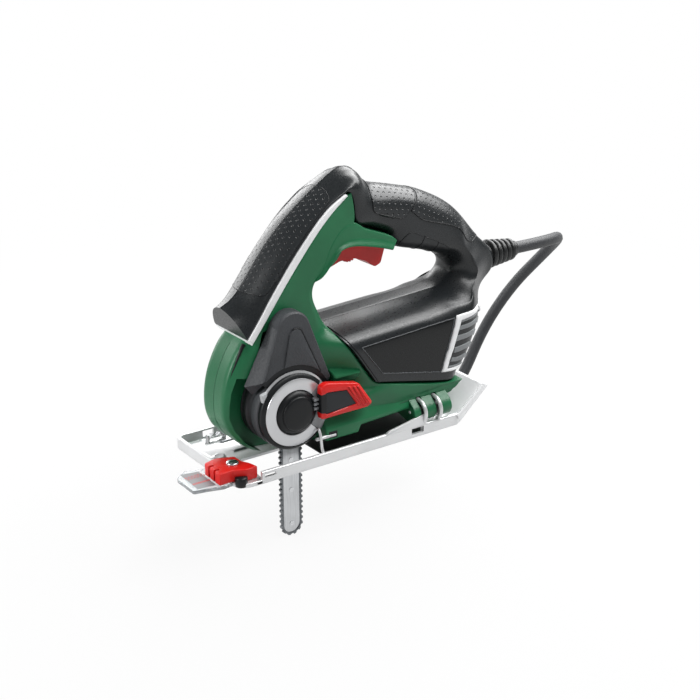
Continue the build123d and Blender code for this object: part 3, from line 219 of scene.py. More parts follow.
def bar(along, up):
    """A side view point at a distance along the sloping front bar and a height above its foot line."""
    return tuple(BAR_FOOT + along * BAR_RUN + up * BAR_RISE)


def spline_weights(count, at, degree=2):
    """Weights of a clamped even spline's control points at places from 0 to 1."""
    spans = count - degree
    knots = np.concatenate([np.zeros(degree), np.arange(spans + 1), np.full(degree, spans)]).astype(float)
    place = np.clip(at, 0, 1 - 1e-9)[:, None] * spans
    weight = ((place >= knots[:-1]) & (place < knots[1:])).astype(float)
    for d in range(1, degree + 1):
        low, high, low2, high2 = knots[:-1 - d], knots[d:-1], knots[1:-d], knots[d + 1:]
        weight = ((place - low) / np.where(high > low, high - low, 1) * weight[:, :-1]
                  + (high2 - place) / np.where(high2 > low2, high2 - low2, 1) * weight[:, 1:])
    return weight


class Shell:
    """A skin lofted through stations. Each station is a row from an inner to an outer side view point, and a
    control line of (share of the row, mm along the row, half width). Cubic splines blend the stations and
    quadratic splines round off each control line."""

    sign = 1.0

    def __init__(self, stations):
        self.table = np.array([[*inner, *outer, *np.ravel(line)] for inner, outer, line in stations], float)
        rows = len(stations)
        inside = np.concatenate([[0, 1 / 3], np.arange(1, rows - 3), [rows - 3 - 1 / 3, rows - 3]])
        self.steps = inside / (rows - 3)
        self.count = (self.table.shape[1] - 4) // 3
        middle = self.outward(np.array([rows / 2]), np.array([0.5]))
        self.sign = -np.sign(middle[0, 1])

    def at(self, station, across):
        """Near side points at stations and places across (0 inner edge, 1 outer edge)."""
        station, across = np.broadcast_arrays(np.asarray(station, float), np.asarray(across, float))
        shape = station.shape
        run = np.interp(station.ravel(), np.arange(len(self.table)), self.steps)
        net = spline_weights(len(self.table), run, 3) @ self.table
        inner, outer = net[:, :2], net[:, 2:4]
        line = net[:, 4:].reshape(len(net), self.count, 3)
        reach = np.linalg.norm(outer - inner, axis=1)[:, None]
        weight = spline_weights(self.count, across.ravel())
        share = (weight * (line[:, :, 0] + line[:, :, 1] / reach)).sum(1)[:, None]
        half = (weight * line[:, :, 2]).sum(1)
        flat = inner + share * (outer - inner)
        return np.stack([flat[:, 0], MID_Y - half, flat[:, 1]], axis=1).reshape(*shape, 3)

    def find(self, flat, low, high):
        """Stations and places across whose side view points are the given ones: nearest of a fine grid, then
        a few steps along the grid's own slopes."""
        flat = np.asarray(flat, float).reshape(-1, 2)
        rows, columns = np.meshgrid(np.linspace(low, high, 160), np.linspace(0.1, 0.995, 120), indexing="ij")
        known = self.at(rows, columns)[..., ::2].reshape(-1, 2)
        best = ((flat[:, None] - known[None]) ** 2).sum(-1).argmin(1)
        here = np.stack([rows.ravel()[best], columns.ravel()[best]], axis=1)
        small = 1e-3
        for _ in range(6):
            now = self.at(here[:, 0], here[:, 1])[:, ::2]
            along = (self.at(here[:, 0] + small, here[:, 1])[:, ::2] - now) / small
            beside = (self.at(here[:, 0], here[:, 1] + small)[:, ::2] - now) / small
            gap = flat - now
            size = along[:, 0] * beside[:, 1] - along[:, 1] * beside[:, 0]
            size = np.where(np.abs(size) < 1e-6, 1e-6, size)
            move = np.stack([gap[:, 0] * beside[:, 1] - gap[:, 1] * beside[:, 0],
                             along[:, 0] * gap[:, 1] - along[:, 1] * gap[:, 0]], axis=1) / size[:, None]
            here = here + np.clip(move, [-0.5, -0.05], [0.5, 0.05])
            here = np.clip(here, [low, 0.02], [high, 0.999])
        return here

    def outward(self, station, across):
        """Unit normals that point away from the inside of the near half."""
        small = 1e-3
        along = self.at(station + small, across) - self.at(station - small, across)
        above, below = [np.clip(across + step, 0, 1) for step in (small, -small)]
        beside = self.at(station, above) - self.at(station, below)
        normal = np.cross(along, beside)
        normal /= np.maximum(np.linalg.norm(normal, axis=-1, keepdims=True), 1e-9)
        return normal * self.sign


def piece_from(name, points, faces, smooth=True, uv=None):
    """A mesh object from points in millimetres and index faces, smooth shaded, with an optional map."""
    mesh = bpy.data.meshes.new(name)
    mesh.from_pydata((np.asarray(points) * MM).tolist(), [], [list(map(int, f)) for f in faces])
    mesh.polygons.foreach_set("use_smooth", np.full(len(mesh.polygons), smooth))
    if uv is not None:
        corner = np.zeros(len(mesh.loops), dtype=np.int32)
        mesh.loops.foreach_get("vertex_index", corner)
        mesh.uv_layers.new(name="surface_mm").data.foreach_set("uv", np.asarray(uv)[corner].ravel())
    mesh.validate()
    mesh.update()
    holder = bpy.data.objects.new(name, mesh)
    bpy.context.collection.objects.link(holder)
    return holder


def creased(piece, angle):
    """Marks a piece's edges as sharp where its faces meet at more than an angle."""
    piece.data.set_sharp_from_angle(angle=math.radians(angle))
    return piece


def quads(rows, columns, wrap=False):
    """Index quads of a grid of points, closed across its columns where wrap is set."""
    row = np.arange(rows - 1)[:, None]
    column = np.arange(columns if wrap else columns - 1)[None, :]
    beside = (column + 1) % columns
    corners = [row * columns + column, row * columns + beside, (row + 1) * columns + beside,
        (row + 1) * columns + column]
    return np.stack(np.broadcast_arrays(*corners), axis=-1).reshape(-1, 4)


def closed(rows, count, joined=False, turned=False):
    """Faces of a run of closed loops, skinned one to the next, with capped ends or joined in a ring."""
    faces = quads(rows, count, wrap=True).tolist()
    last = (rows - 1) * count
    if joined:
        faces += [[last + k, last + (k + 1) % count, (k + 1) % count, k] for k in range(count)]
    else:
        faces += [list(range(count))[::-1], list(range(last, last + count))]
    return [f[::-1] for f in faces] if turned else faces


def full_shell(name, shell, stations, across):
    """The closed skin: every station's profile down the near side and back up the far side, ends capped."""
    near = shell.at(*np.meshgrid(stations, across, indexing="ij"))
    loop = np.concatenate([near, far_copy(near[:, -2:0:-1])], axis=1)
    faces = closed(*loop.shape[:2], turned=shell.sign > 0)
    return creased(piece_from(name, loop.reshape(-1, 3), faces), 50)


def lifted(shell, station, across, lift):
    """Near side points of a shell moved out along its normals."""
    return shell.at(station, across) + lift * shell.outward(station, across)


def far_copy(points):
    """The same points on the far side of the tool."""
    other = np.array(points)
    other[..., 1] = 2 * MID_Y - other[..., 1]
    return other


def line_at(place, knots, line):
    """Points of a line of known points at places between its knots."""
    return np.stack([np.interp(place, knots, column) for column in np.asarray(line, float).T], axis=1)


def resample(points, count):
    """Points spaced evenly by length along an open line."""
    points = np.asarray(points, float)
    length = np.concatenate([[0], np.cumsum(np.linalg.norm(np.diff(points, axis=0), axis=1))])
    return line_at(np.linspace(0, length[-1], count), length, points)


def parabola(first, middle, last, share):
    """The curve through three points or lines, at shares from 0 to 1."""
    return (first * (1 - share) * (1 - 2 * share) + middle * 4 * share * (1 - share)
            + last * share * (2 * share - 1))


def smooth_line(points, count):
    """A quadratic spline that starts and ends on the line's ends and rounds its corners."""
    points = np.asarray(points, float)
    return spline_weights(len(points), np.linspace(0, 1, count)) @ points


def map_mm(grid):
    """Lengths along a grid's columns and rows, from its middle row, as a flat map in millimetres."""
    along, across = np.zeros(grid.shape[:2]), np.zeros(grid.shape[:2])
    along[:, 1:] = np.cumsum(np.linalg.norm(np.diff(grid, axis=1), axis=2), axis=1)
    across[1:] = np.cumsum(np.linalg.norm(np.diff(grid, axis=0), axis=2), axis=0)
    middle = grid.shape[0] // 2
    along = along - along[:, -1:] / 2
    return np.stack([along, across - across[middle:middle + 1]], axis=-1)


def walled(piece, thick):
    """Gives a skin a wall of some millimetres behind it."""
    wall = piece.modifiers.new("wall", "SOLIDIFY")
    wall.thickness, wall.offset = thick * MM, -1
    return piece


def sheet_piece(name, grid, thick, turned=False):
    """A grid of points as a skin with a wall of its own thickness behind it."""
    faces = quads(*grid.shape[:2])
    uv = map_mm(grid).reshape(-1, 2)
    return walled(piece_from(name, grid.reshape(-1, 3), faces[:, ::-1] if turned else faces, uv=uv), thick)


def bead(path, normal, radius, sides=8):
    """Points and faces of a round bead carried along a path that lies on a skin with the given normals."""
    run = np.gradient(path, axis=0)
    beside = np.cross(run, normal)
    beside /= np.linalg.norm(beside, axis=1, keepdims=True)
    up = np.cross(beside, run)
    up /= np.linalg.norm(up, axis=1, keepdims=True)
    turn = np.linspace(0, 2 * np.pi, sides, endpoint=False)[None, :, None]
    girth = np.linspace(*np.broadcast_to(radius, 2), len(path))[:, None, None]
    ring = path[:, None] + girth * (np.cos(turn) * beside[:, None] + np.sin(turn) * up[:, None])
    return ring.reshape(-1, 3), closed(len(path), sides, turned=True)


def carried(profile, turn, centre, axis):
    """Points of a profile of (along, radius) at angles round an axis, a row for each angle."""
    profile, turn = np.asarray(profile, float), turn[:, None]
    ring = np.zeros((len(turn), len(profile), 3))
    first, second = {0: (1, 2), 1: (2, 0), 2: (0, 1)}[axis]
    ring[..., axis] = profile[:, 0]
    ring[..., first] = profile[:, 1] * np.cos(turn)
    ring[..., second] = profile[:, 1] * np.sin(turn)
    return ring + np.asarray(centre, float)


def turned_piece(name, profile, centre, axis, sides=64):
    """A profile of (along, radius) carried right round an axis, with its two ends capped."""
    ring = carried(profile, np.linspace(0, 2 * np.pi, sides, endpoint=False), centre, axis).swapaxes(0, 1)
    return piece_from(name, ring.reshape(-1, 3), closed(len(profile), sides))


def inlay(name, shell, left, right, middle=None, lift=0.3, thick=1.2, rows=41, columns=81, inner=False):
    """A pad right across a shell's outer (or inner) edge. Its ends are lines of (station, across) from the
    edge down the near side, a parabola runs through left, middle and right, and the far side mirrors it."""
    left, right = smooth_line(left, rows), smooth_line(right, rows)
    middle = (left + right) / 2 if middle is None else smooth_line(middle, rows)
    share = np.linspace(0, 1, columns)[None, :, None]
    place = parabola(left[:, None], middle[:, None], right[:, None], share)
    near = lifted(shell, place[..., 0], place[..., 1], lift)
    grid = np.concatenate([near[:0:-1], far_copy(near)], axis=0)
    rim = np.concatenate([place[:, 0], place[-1, 1:-1], place[::-1, -1]])
    return sheet_piece(name, grid, thick, turned=inner), rim


def groove(name, shell, line, radius=0.4, lift=0.1, count=160, far=True):
    """A dark joint line along (station, across) places on the near side, and its mirror, as one piece. The
    bead tapers where the radius is a pair."""
    line = resample(line, count)
    path = lifted(shell, line[:, 0], line[:, 1], lift)
    normal = shell.outward(line[:, 0], line[:, 1])
    rings, faces = bead(path, normal, radius)
    if far:
        rings = np.concatenate([rings, far_copy(rings)])
        faces = faces + [[k + len(rings) // 2 for k in f[::-1]] for f in faces]
    return piece_from(name, rings, faces)


def strip(name, shell, outer, inner, lift, thick, steps=14, rows=7):
    """A band between two lines of (station, across) given corner by corner, and its mirror."""
    place = np.linspace(0, len(outer) - 1, steps * (len(outer) - 1) + 1)
    outer, inner = [line_at(place, np.arange(len(line)), line) for line in (outer, inner)]
    share = np.linspace(0, 1, rows)[:, None, None]
    grid = outer[None] * (1 - share) + inner[None] * share
    edge = 1 - np.abs(2 * share - 1) ** 6
    near = lifted(shell, grid[..., 0], grid[..., 1], lift * edge)
    return [sheet_piece(name, near, thick), sheet_piece(name + "_far", far_copy(near), thick, turned=True)]


def stack(name, loops, axis, hollow=False):
    """Closed outlines with the same number of points, each at its own place along an axis, skinned from one
    to the next. The ends are capped, or joined to each other where the piece is a hollow frame."""
    count = len(loops[0][1])
    points = np.zeros((len(loops), count, 3))
    first, second = {0: (1, 2), 1: (0, 2), 2: (0, 1)}[axis]
    for k, (place, outline) in enumerate(loops):
        points[k, :, axis] = place
        points[k, :, first], points[k, :, second] = outline[:, 0], outline[:, 1]
    x, y = (loops[0][1] - loops[0][1].mean(axis=0)).T
    turn = np.sign((x * np.roll(y, -1) - y * np.roll(x, -1)).sum()) * (-1 if axis == 1 else 1)
    faces = closed(len(loops), count, joined=hollow, turned=turn < 0)
    return creased(piece_from(name, points.reshape(-1, 3), faces), 38)


def shrunk(outline, by):
    """A closed outline drawn in along its own normals."""
    ahead = np.roll(outline, -1, axis=0) - outline
    ahead /= np.linalg.norm(ahead, axis=1, keepdims=True)
    both = ahead + np.roll(ahead, 1, axis=0)
    inward = np.stack([-both[:, 1], both[:, 0]], axis=1)
    inward /= np.maximum(np.linalg.norm(inward, axis=1, keepdims=True), 1e-9)
    lean = inward[:, 1] * ahead[:, 0] - inward[:, 0] * ahead[:, 1]
    x, y = (outline - outline.mean(axis=0)).T
    side = np.sign((x * np.roll(y, -1) - y * np.roll(x, -1)).sum())
    return outline + side * by * inward / np.maximum(lean, 0.4)[:, None]


def block(name, outline, axis, low, high, rounding=0.6):
    """A closed outline carried along an axis, with its rim drawn in at both ends by a quarter round."""
    outline = np.asarray(outline, float)
    quarter = np.linspace(0, np.pi / 2, 5)
    rings = [(low + rounding * (1 - np.sin(a)), rounding * (1 - np.cos(a))) for a in quarter[::-1]]
    rings += [(high - rounding * (1 - np.sin(a)), rounding * (1 - np.cos(a))) for a in quarter]
    return stack(name, [(place, shrunk(outline, by)) for place, by in rings], axis)


def ring_piece(name, profile, centre, axis, start=0.0, stop=360.0, sides=96):
    """A closed profile of (along, radius), given anticlockwise, carried round an axis between two angles."""
    whole = stop - start >= 360
    ring = carried(profile, np.radians(np.linspace(start, stop, sides, endpoint=not whole)), centre, axis)
    return creased(piece_from(name, ring.reshape(-1, 3), closed(sides, len(profile), joined=whole)), 38)


def eased(corners, radius, steps=6):
    """A closed outline whose corners are rounded off by short curves that start a radius away from each."""
    corners = np.asarray(corners, float)
    t = np.linspace(0, 1, steps)[None, :, None]
    sides = [np.roll(corners, k, axis=0) - corners for k in (1, -1)]
    reach = np.broadcast_to(radius, len(corners))
    ends = [corners + side * np.minimum(reach / np.linalg.norm(side, axis=1), 0.45)[:, None]
            for side in sides]
    curve = ends[0][:, None] * (1 - t) ** 2 + 2 * corners[:, None] * t * (1 - t) + ends[1][:, None] * t ** 2
    return curve.reshape(-1, 2)


def by_angle(outline, centre, count=120):
    """A closed outline's points at even angles round a centre that sees all of it."""
    out = resample(np.concatenate([outline, outline[:1]]), 1200)[:-1] - np.asarray(centre, float)
    angle = np.arctan2(out[:, 1], out[:, 0])
    even = np.linspace(-np.pi, np.pi, count, endpoint=False)
    reach = np.interp(even, np.sort(angle), np.linalg.norm(out, axis=1)[np.argsort(angle)], period=2 * np.pi)
    return np.asarray(centre) + reach[:, None] * np.stack([np.cos(even), np.sin(even)], axis=1)


def cut_away(piece, cutter, finish):
    """Takes the cutter's volume out of a piece for good; the cut faces get a finish of their own."""
    cutter.data.materials.append(finish)
    change = piece.modifiers.new("cut", "BOOLEAN")
    change.operation, change.solver, change.object = "DIFFERENCE", "MANIFOLD", cutter
    rough, graph = piece.data, bpy.context.evaluated_depsgraph_get()
    piece.data = bpy.data.meshes.new_from_object(piece.evaluated_get(graph))
    piece.modifiers.clear()
    creased(piece, 50)
    bpy.data.meshes.remove(rough)
    bpy.data.objects.remove(cutter)


def ring_points(centre, radius, count=48, start=0.0, stop=360.0):
    """Points of a flat arc."""
    turn = np.radians(np.linspace(start, stop, count, endpoint=stop - start < 360))
    return np.stack([centre[0] + radius * np.cos(turn), centre[1] + radius * np.sin(turn)], axis=1)


def wrap_round(points):
    """The convex outline round flat points, in order: gift wrapping."""
    points = np.unique(np.round(points, 6), axis=0)
    start = here = int(points[:, 0].argmin())
    way, outline = np.array([0.0, -1.0]), []
    while True:
        outline.append(points[here])
        move = points - points[here]
        far = np.linalg.norm(move, axis=1)
        angle = np.arctan2(way[0] * move[:, 1] - way[1] * move[:, 0], move @ way)
        angle = np.where(far < 1e-9, np.inf, np.where(angle < -1e-9, angle + 2 * np.pi, angle))
        there = int(np.lexsort((-far, np.round(angle, 7)))[0])
        way, here = move[there] / far[there], there
        if here == start:
            return np.array(outline)


# Cord, first of all the pieces

CORD_D = 9.4
COIL_Z = -50.1
ROUTE = [
    (225, 27, 110), (262, 27, 110), (296, 48, 104), (310.7, 79.5, 80.5), (299.2, 107, 45.5), (276, 116, 8),
    (248, 109, -30), (222, 106, -47), (194, 105, COIL_Z), (174.4, 105, COIL_Z),
]
COIL_TURNS = 5.5
COIL_POINTS = 14
COIL_MIDDLE = (165, 170)
COIL_REACH = 65
COIL_STEP = 9.9


def coil_points():
    """Turns of a flat coil that winds inwards for half its turns, climbs one layer, and winds out again."""
    turn = np.arange(1, int(COIL_TURNS * COIL_POINTS) + 1) / COIL_POINTS
    inward = np.where(turn <= COIL_TURNS / 2, turn, COIL_TURNS - turn)
    rise = np.clip(2 * (turn - 2.5), 0, 1)
    rise = rise * rise * (3 - 2 * rise)
    reach = COIL_REACH - COIL_STEP * inward
    angle = np.radians(270 - 360 * turn)
    return np.stack([COIL_MIDDLE[0] + reach * np.cos(angle), COIL_MIDDLE[1] + reach * np.sin(angle),
                     COIL_Z + COIL_STEP * rise], axis=1)


def lay_cord():
    """One smooth spline through the route, the coil and the short tail to the plug, as a round lead."""
    points = np.concatenate([ROUTE, coil_points(), [(212.0, 235.0, COIL_Z + COIL_STEP)]])
    curve = bpy.data.curves.new("mains_lead", "CURVE")
    curve.dimensions = "3D"
    spline = curve.splines.new("NURBS")
    spline.points.add(len(points) - 1)
    flat = np.concatenate([points * MM, np.ones((len(points), 1))], axis=1)
    spline.points.foreach_set("co", flat.ravel())
    spline.order_u = 3
    spline.use_endpoint_u = True
    spline.resolution_u = 6
    curve.bevel_depth = CORD_D / 2 * MM
    curve.bevel_resolution = 4
    curve.use_fill_caps = True
    lead = bpy.data.objects.new("mains_lead", curve)
    bpy.context.collection.objects.link(lead)
    return lead


lead = lay_cord()
lead.data.materials.append(moulding("lead_sheath", "26282b", 0.55, grain=1400, depth=0.04))
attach(lead, "housing")
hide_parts("power_cord", "cord_coil")


# Finishes

FINISHES = {
    "green_body": moulding("green_casing", "1a613d", 0.38, depth=0.04, Specular_IOR_Level=0.35),
    "dark_body": moulding("charcoal_casing", "191c1e", 0.32, depth=0.025, Specular_IOR_Level=0.4),
    "soft_grip": moulding("soft_charcoal", "191c1e", 0.42, grain=1500, depth=0.08, Specular_IOR_Level=0.4),
    "white_trim": moulding("pale_trim", "dfe0e1", 0.44, depth=0.02, patch=0.03),
    "black_panel": moulding("gloss_black", "0c0e0f", 0.26, grain=300, depth=0.006, patch=0.05, spread=0.02,
        Specular_IOR_Level=0.3),
    "grille": moulding("vent_charcoal", "3a3d40", 0.50),
    "gear_cover": moulding("cast_charcoal", "393b3e", 0.52,
        depth=0.45, patch=0.12, Specular_IOR_Level=0.3),
    "knob_ring": moulding("ring_silver", "c4c5c7", 0.30,
        grain=2500, depth=0.006, patch=0.03, spread=0.02, metal=0.7),
    "black_plastic": moulding("black_moulding", "121416", 0.38, Specular_IOR_Level=0.25),
    "red_plastic": moulding("red_moulding", "c8130e", 0.38, depth=0.03, Specular_IOR_Level=0.4),
    "bar_steel": brushed("bar_steel", "c6c8ca", 0.34, stretch=(1200, 1200, 60)),
    "chain_steel": brushed("chain_steel", "6f7275", 0.36, stretch=(400, 400, 400)),
    "bright_steel": brushed("bright_steel", "d0d2d4", 0.24, stretch=(60, 900, 900)),
    "gear_steel": brushed("gear_steel", "9a9da0", 0.40, stretch=(300, 300, 300)),
    "sole_metal": moulding("pressed_sole", "d4d5d6", 0.34,
        grain=1800, depth=0.03, patch=0.04, spread=0.04, metal=0.55),
    "clear_window": moulding("clear_plastic", "e9eef0", 0.12, depth=0.01, Transmission_Weight=0.85, IOR=1.45),
    "rubber": moulding("cord_rubber", "0f1112", 0.42, depth=0.08),
    "cord": moulding("cord_sheath", "26282b", 0.55, grain=1400),
    "laminations": brushed("stacked_sheet", "7c7f82", 0.45, stretch=(1500, 60, 60)),
    "copper": brushed("winding_copper", "b5652f", 0.35),
    "carbon": moulding("brush_carbon", "202123", 0.70),
    "cast_alloy": moulding("cast_alloy", "a5a8aa", 0.42, grain=500, depth=0.2, metal=1.0),
}

for part in frame["record"]["subparts"]:
    holder = nodes[part["node"]].data.materials
    holder.clear()
    holder.append(FINISHES[part["material_slot"]])


def mount(piece, slot_name, *stood_for, body="housing", finish=None):
    """Hangs a piece on its body, gives it its finish and hides the plain solids that it stands for. The finish
    is the slot's own unless another is given."""
    piece.data.materials.append(finish or FINISHES[slot_name])
    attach(piece, body)
    if stood_for:
        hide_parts(*stood_for)
    return piece


# Dark casing: grip bar, neck, handle, rear pillar and motor barrel in one run

GRIP_LINE = [(0, 0, 0), (0, 0, 19.5), (0, 0.3, 21.5), (0, 2.4, 21.0), (0.30, 0, 19.4), (0.53, 0, 16.6),
    (0.74, 0, 12.8), (0.88, 0, 8.2), (0.95, 0, 4.2), (1, 0, 0)]
CROWN_LINE = [(0, 0, 0), (0, 0, 19), (0, 0.3, 21.0), (0, 2.0, 20.4), (0.25, 0, 18.4), (0.44, 0, 15.4),
    (0.64, 0, 11.6), (0.82, 0, 7.4), (0.93, 0, 3.8), (1, 0, 0)]
NECK_LINE = [(0, 0, 0), (0, 0, 17), (0, 0.5, 20.0), (0, 4.5, 20.4), (0.4, 0, 20.0), (0.58, 0, 18.4),
    (0.74, 0, 15.0), (1, -3.0, 10.0), (1, -0.6, 5.5), (1, 0, 0)]
HANDLE_LINE = [(0, 0, 0), (0, 0, 7), (0, 1.6, 13.5), (0, 7, 18.6), (0.4, 0, 19.2), (0.58, 0, 18.6),
    (0.76, 0, 16.6), (1, -3.8, 11.5), (1, -0.6, 6.0), (1, 0, 0)]
PILLAR_LINE = [(0, 0, 0), (0, 0, 5), (0, 1.4, 10.5), (0, 7.5, 17.2), (0.42, 0, 20.0), (1, -20, 20.2),
    (1, -18.0, 19.0), (1, -8, 12.5), (1, 0, 7.5), (1, 0, 0)]
BOSS_LINE = [(0, 0, 0), (0, 0, 5), (0, 2, 10.5), (0, 9, 18.0), (0.4, 0, 21.0), (1, -28, 21.0),
    (1, -26.0, 19.6), (1, -11, 11.4), (1, 0, 10.0), (1, 0, 0)]
FOOT_LINE = [(0, 0, 0), (0, 0, 6), (0, 3, 11.5), (0, 12, 21.5), (0, 20, 26.0), (1, -27, 26.0), (1, -24, 24.0),
             (1, -12, 15.0), (1, 0, 8.0), (1, 0, 0)]
HIP_LINE = [(0, 0, 0), (0, 0, 7), (0, 1.2, 9.0), (0, 10, 22.0), (0, 19, 30.5), (1, -24, 33.0), (1, -18, 31.0),
            (1, -8, 22.0), (1, 0, 11.0), (1, 0, 0)]
STERN_LINE = [(0, 0, 0), (0, 0, 7), (0, 0.6, 7.8), (0, 5.6, 21.5), (0, 11.5, 32.0), (0, 21, 36.4),
    (1, -20, 36.5), (1, -7, 31.0), (1, 0, 16.0), (1, 0, 0)]
BARREL_LINE = [(0, 0, 0), (0, 0, 7), (0, 0.6, 7.8), (0, 4.6, 20.5), (0, 9.8, 31.0), (0, 17.5, 36.2),
    (0.64, 0, 36.5), (0.9, 0, 36.4), (1, 0, 36.0), (1, 0, 0)]

dark = Shell([
    (bar(0, 0.0), bar(9.0, 18.5), GRIP_LINE),
    (bar(6, 0.2), bar(14, 15.6), GRIP_LINE),
    (bar(16, 1.0), bar(20, 13.9), GRIP_LINE),
    (bar(28, 2.4), bar(30, 13.6), GRIP_LINE),
    (bar(45, 3.6), bar(46, 14.8), GRIP_LINE),
    (bar(62, 4.4), bar(62, 15.2), GRIP_LINE),
    (bar(79, 4.3), bar(78, 13.8), GRIP_LINE),
    (bar(96, 3.2), bar(95, 10.8), CROWN_LINE),
    (bar(107, 1.0), bar(110, 7.2), CROWN_LINE),
    (bar(116, -3), (50, 190.0), CROWN_LINE),
    ((53.0, 183.0), (57.0, 194.0), CROWN_LINE),
    ((57.0, 180.0), (65.0, 195.8), NECK_LINE),
    ((58.8, 174.5), (72.6, 191.8), NECK_LINE),
    ((59.5, 169.0), (76.8, 185.2), NECK_LINE),
    ((60.2, 163.0), (82.5, 181.2), NECK_LINE),
    ((63, 157.5), (93.5, 179.2), NECK_LINE),
    ((72, 153.4), (104, 176.8), HANDLE_LINE),
    ((83, 149.5), (113.4, 174.6), HANDLE_LINE),
    ((92, 146.2), (121.6, 172.6), HANDLE_LINE),
    ((95.6, 141.0), (128.6, 170.2), HANDLE_LINE),
    ((99.5, 134.3), (136.2, 166.8), HANDLE_LINE),
    ((112, 131.2), (145.6, 162.6), HANDLE_LINE),
    ((125, 128.0), (156.0, 156.4), HANDLE_LINE),
    ((136, 124.2), (165.8, 147.4), HANDLE_LINE),
    ((147.0, 120.5), (174.8, 136.8), PILLAR_LINE),
    ((152.5, 115.5), (183.2, 127.6), PILLAR_LINE),
    ((154.5, 110.6), (192.5, 120.6), BOSS_LINE),
    ((154.0, 105.6), (199.5, 110.5), BOSS_LINE),
    ((149.8, 101.4), (198.0, 100.5), BOSS_LINE),
    ((145.2, 98.2), (187.0, 93.0), FOOT_LINE),
    ((139.5, 96.8), (179.0, 84.0), HIP_LINE),
    ((133.5, 96.3), (172.0, 71.0), STERN_LINE),
    ((127.5, 95.9), (164.6, 53.0), STERN_LINE),
    ((121.0, 95.5), (156.8, 38.4), STERN_LINE),
    ((113.0, 95.0), (150.2, 31.6), STERN_LINE),
    ((104.0, 94.4), (141.5, 30.4), BARREL_LINE),
    ((92.0, 93.7), (130.0, 32.0), BARREL_LINE),
    ((74.0, 92.6), (110.0, 36.4), BARREL_LINE),
    ((56.0, 91.6), (88.0, 41.4), BARREL_LINE),
    ((36.6, 90.5), (68.2, 45.8), BARREL_LINE),
])
GRIP_END = 10.0
dark_across = np.linspace(0, 1, 97)
mount(full_shell("grip_bar", dark, np.linspace(0, GRIP_END, 121), dark_across),
      "dark_body", "front_grip")
mount(full_shell("dark_casing", dark, np.linspace(GRIP_END, 39, 321), dark_across),
      "dark_body", "rear_housing_left", "rear_housing_right")


# White trim between the grip bar and the green casing

TRIM_LINE = [(0, 0, 0), (0, 0, 14), (0, 0, 21.5), (0, 0.2, 22.3), (0.3, 0, 22.4), (0.7, 0, 22.4),
    (1, -0.2, 22.3), (1, 0, 21.5), (1, 0, 14), (1, 0, 0)]
trim = Shell([
    (bar(-1.0, -4.6), bar(0.6, 0.3), TRIM_LINE),
    (bar(4, -4.4), bar(4, 0.4), TRIM_LINE),
    (bar(15, -3.7), bar(14, 0.9), TRIM_LINE),
    (bar(30, -2.6), bar(28, 2.6), TRIM_LINE),
    (bar(45, -1.5), bar(45, 3.8), TRIM_LINE),
    (bar(60, -0.9), bar(62, 4.6), TRIM_LINE),
    (bar(75, -0.5), bar(79, 4.5), TRIM_LINE),
    (bar(92, -0.7), bar(96, 3.4), TRIM_LINE),
    (bar(106, -2.4), bar(107, 1.2), TRIM_LINE),
    (bar(117.5, -5.2), bar(117.5, -3.4), TRIM_LINE),
])
mount(full_shell("white_trim_strip", trim, np.linspace(0, 9, 91), np.linspace(0, 1, 81)),
      "white_trim", "trim_strip")


# Green front casing: post, nose and skirt

POST_LINE = [(0, 0, 0), (0, 0, 19), (0, 0.5, 21.0), (0.2, 0, 21.0), (0.4, 0, 21.0), (0.6, 0, 21.0),
    (0.8, 0, 21.0), (1, -5, 21.0), (1, 0, 18.5), (1, 0, 0)]
ROOT_LINE = [(0, 0, 0), (0, 0, 19), (0, 0.5, 21.0), (0.2, 0, 21.0), (0.4, 0, 21.0), (0.6, 0, 21.0),
    (0.8, 0, 21.0), (1, -2, 21.0), (1, 0, 21.0), (1, 0, 0)]


def nose_line(front, flare, seam):
    """A nose section: a low roof at the front, a rounded cheek, a flat side and a flare up to the seam."""
    return [(0, 0, 0), (0, -0.2, 0.35 * front), (0, -0.4, 0.58 * front), (0, 0.8, 0.74 * front), (0, 15, 20.8),
        (0.5, 0, 21.4), (0.72, 0, 21.4 + 0.16 * flare), (0.88, 0, 21.4 + 0.6 * flare), (1, 0, seam),
        (1, 0, 0)]


def skirt_line(toe, seam):
    """A skirt section: from the half width at its toe, swelling to the seam under the barrel."""
    return [(0, 0, 0), (0, 0, toe - 3), (0, 1.5, toe), (0, 8, toe + 0.15 * (seam - toe)),
        (0.35, 0, toe + 0.4 * (seam - toe)), (0.6, 0, toe + 0.75 * (seam - toe)), (0.8, 0, seam - 0.6),
        (0.93, 0, seam), (1, 0, seam), (1, 0, 0)]


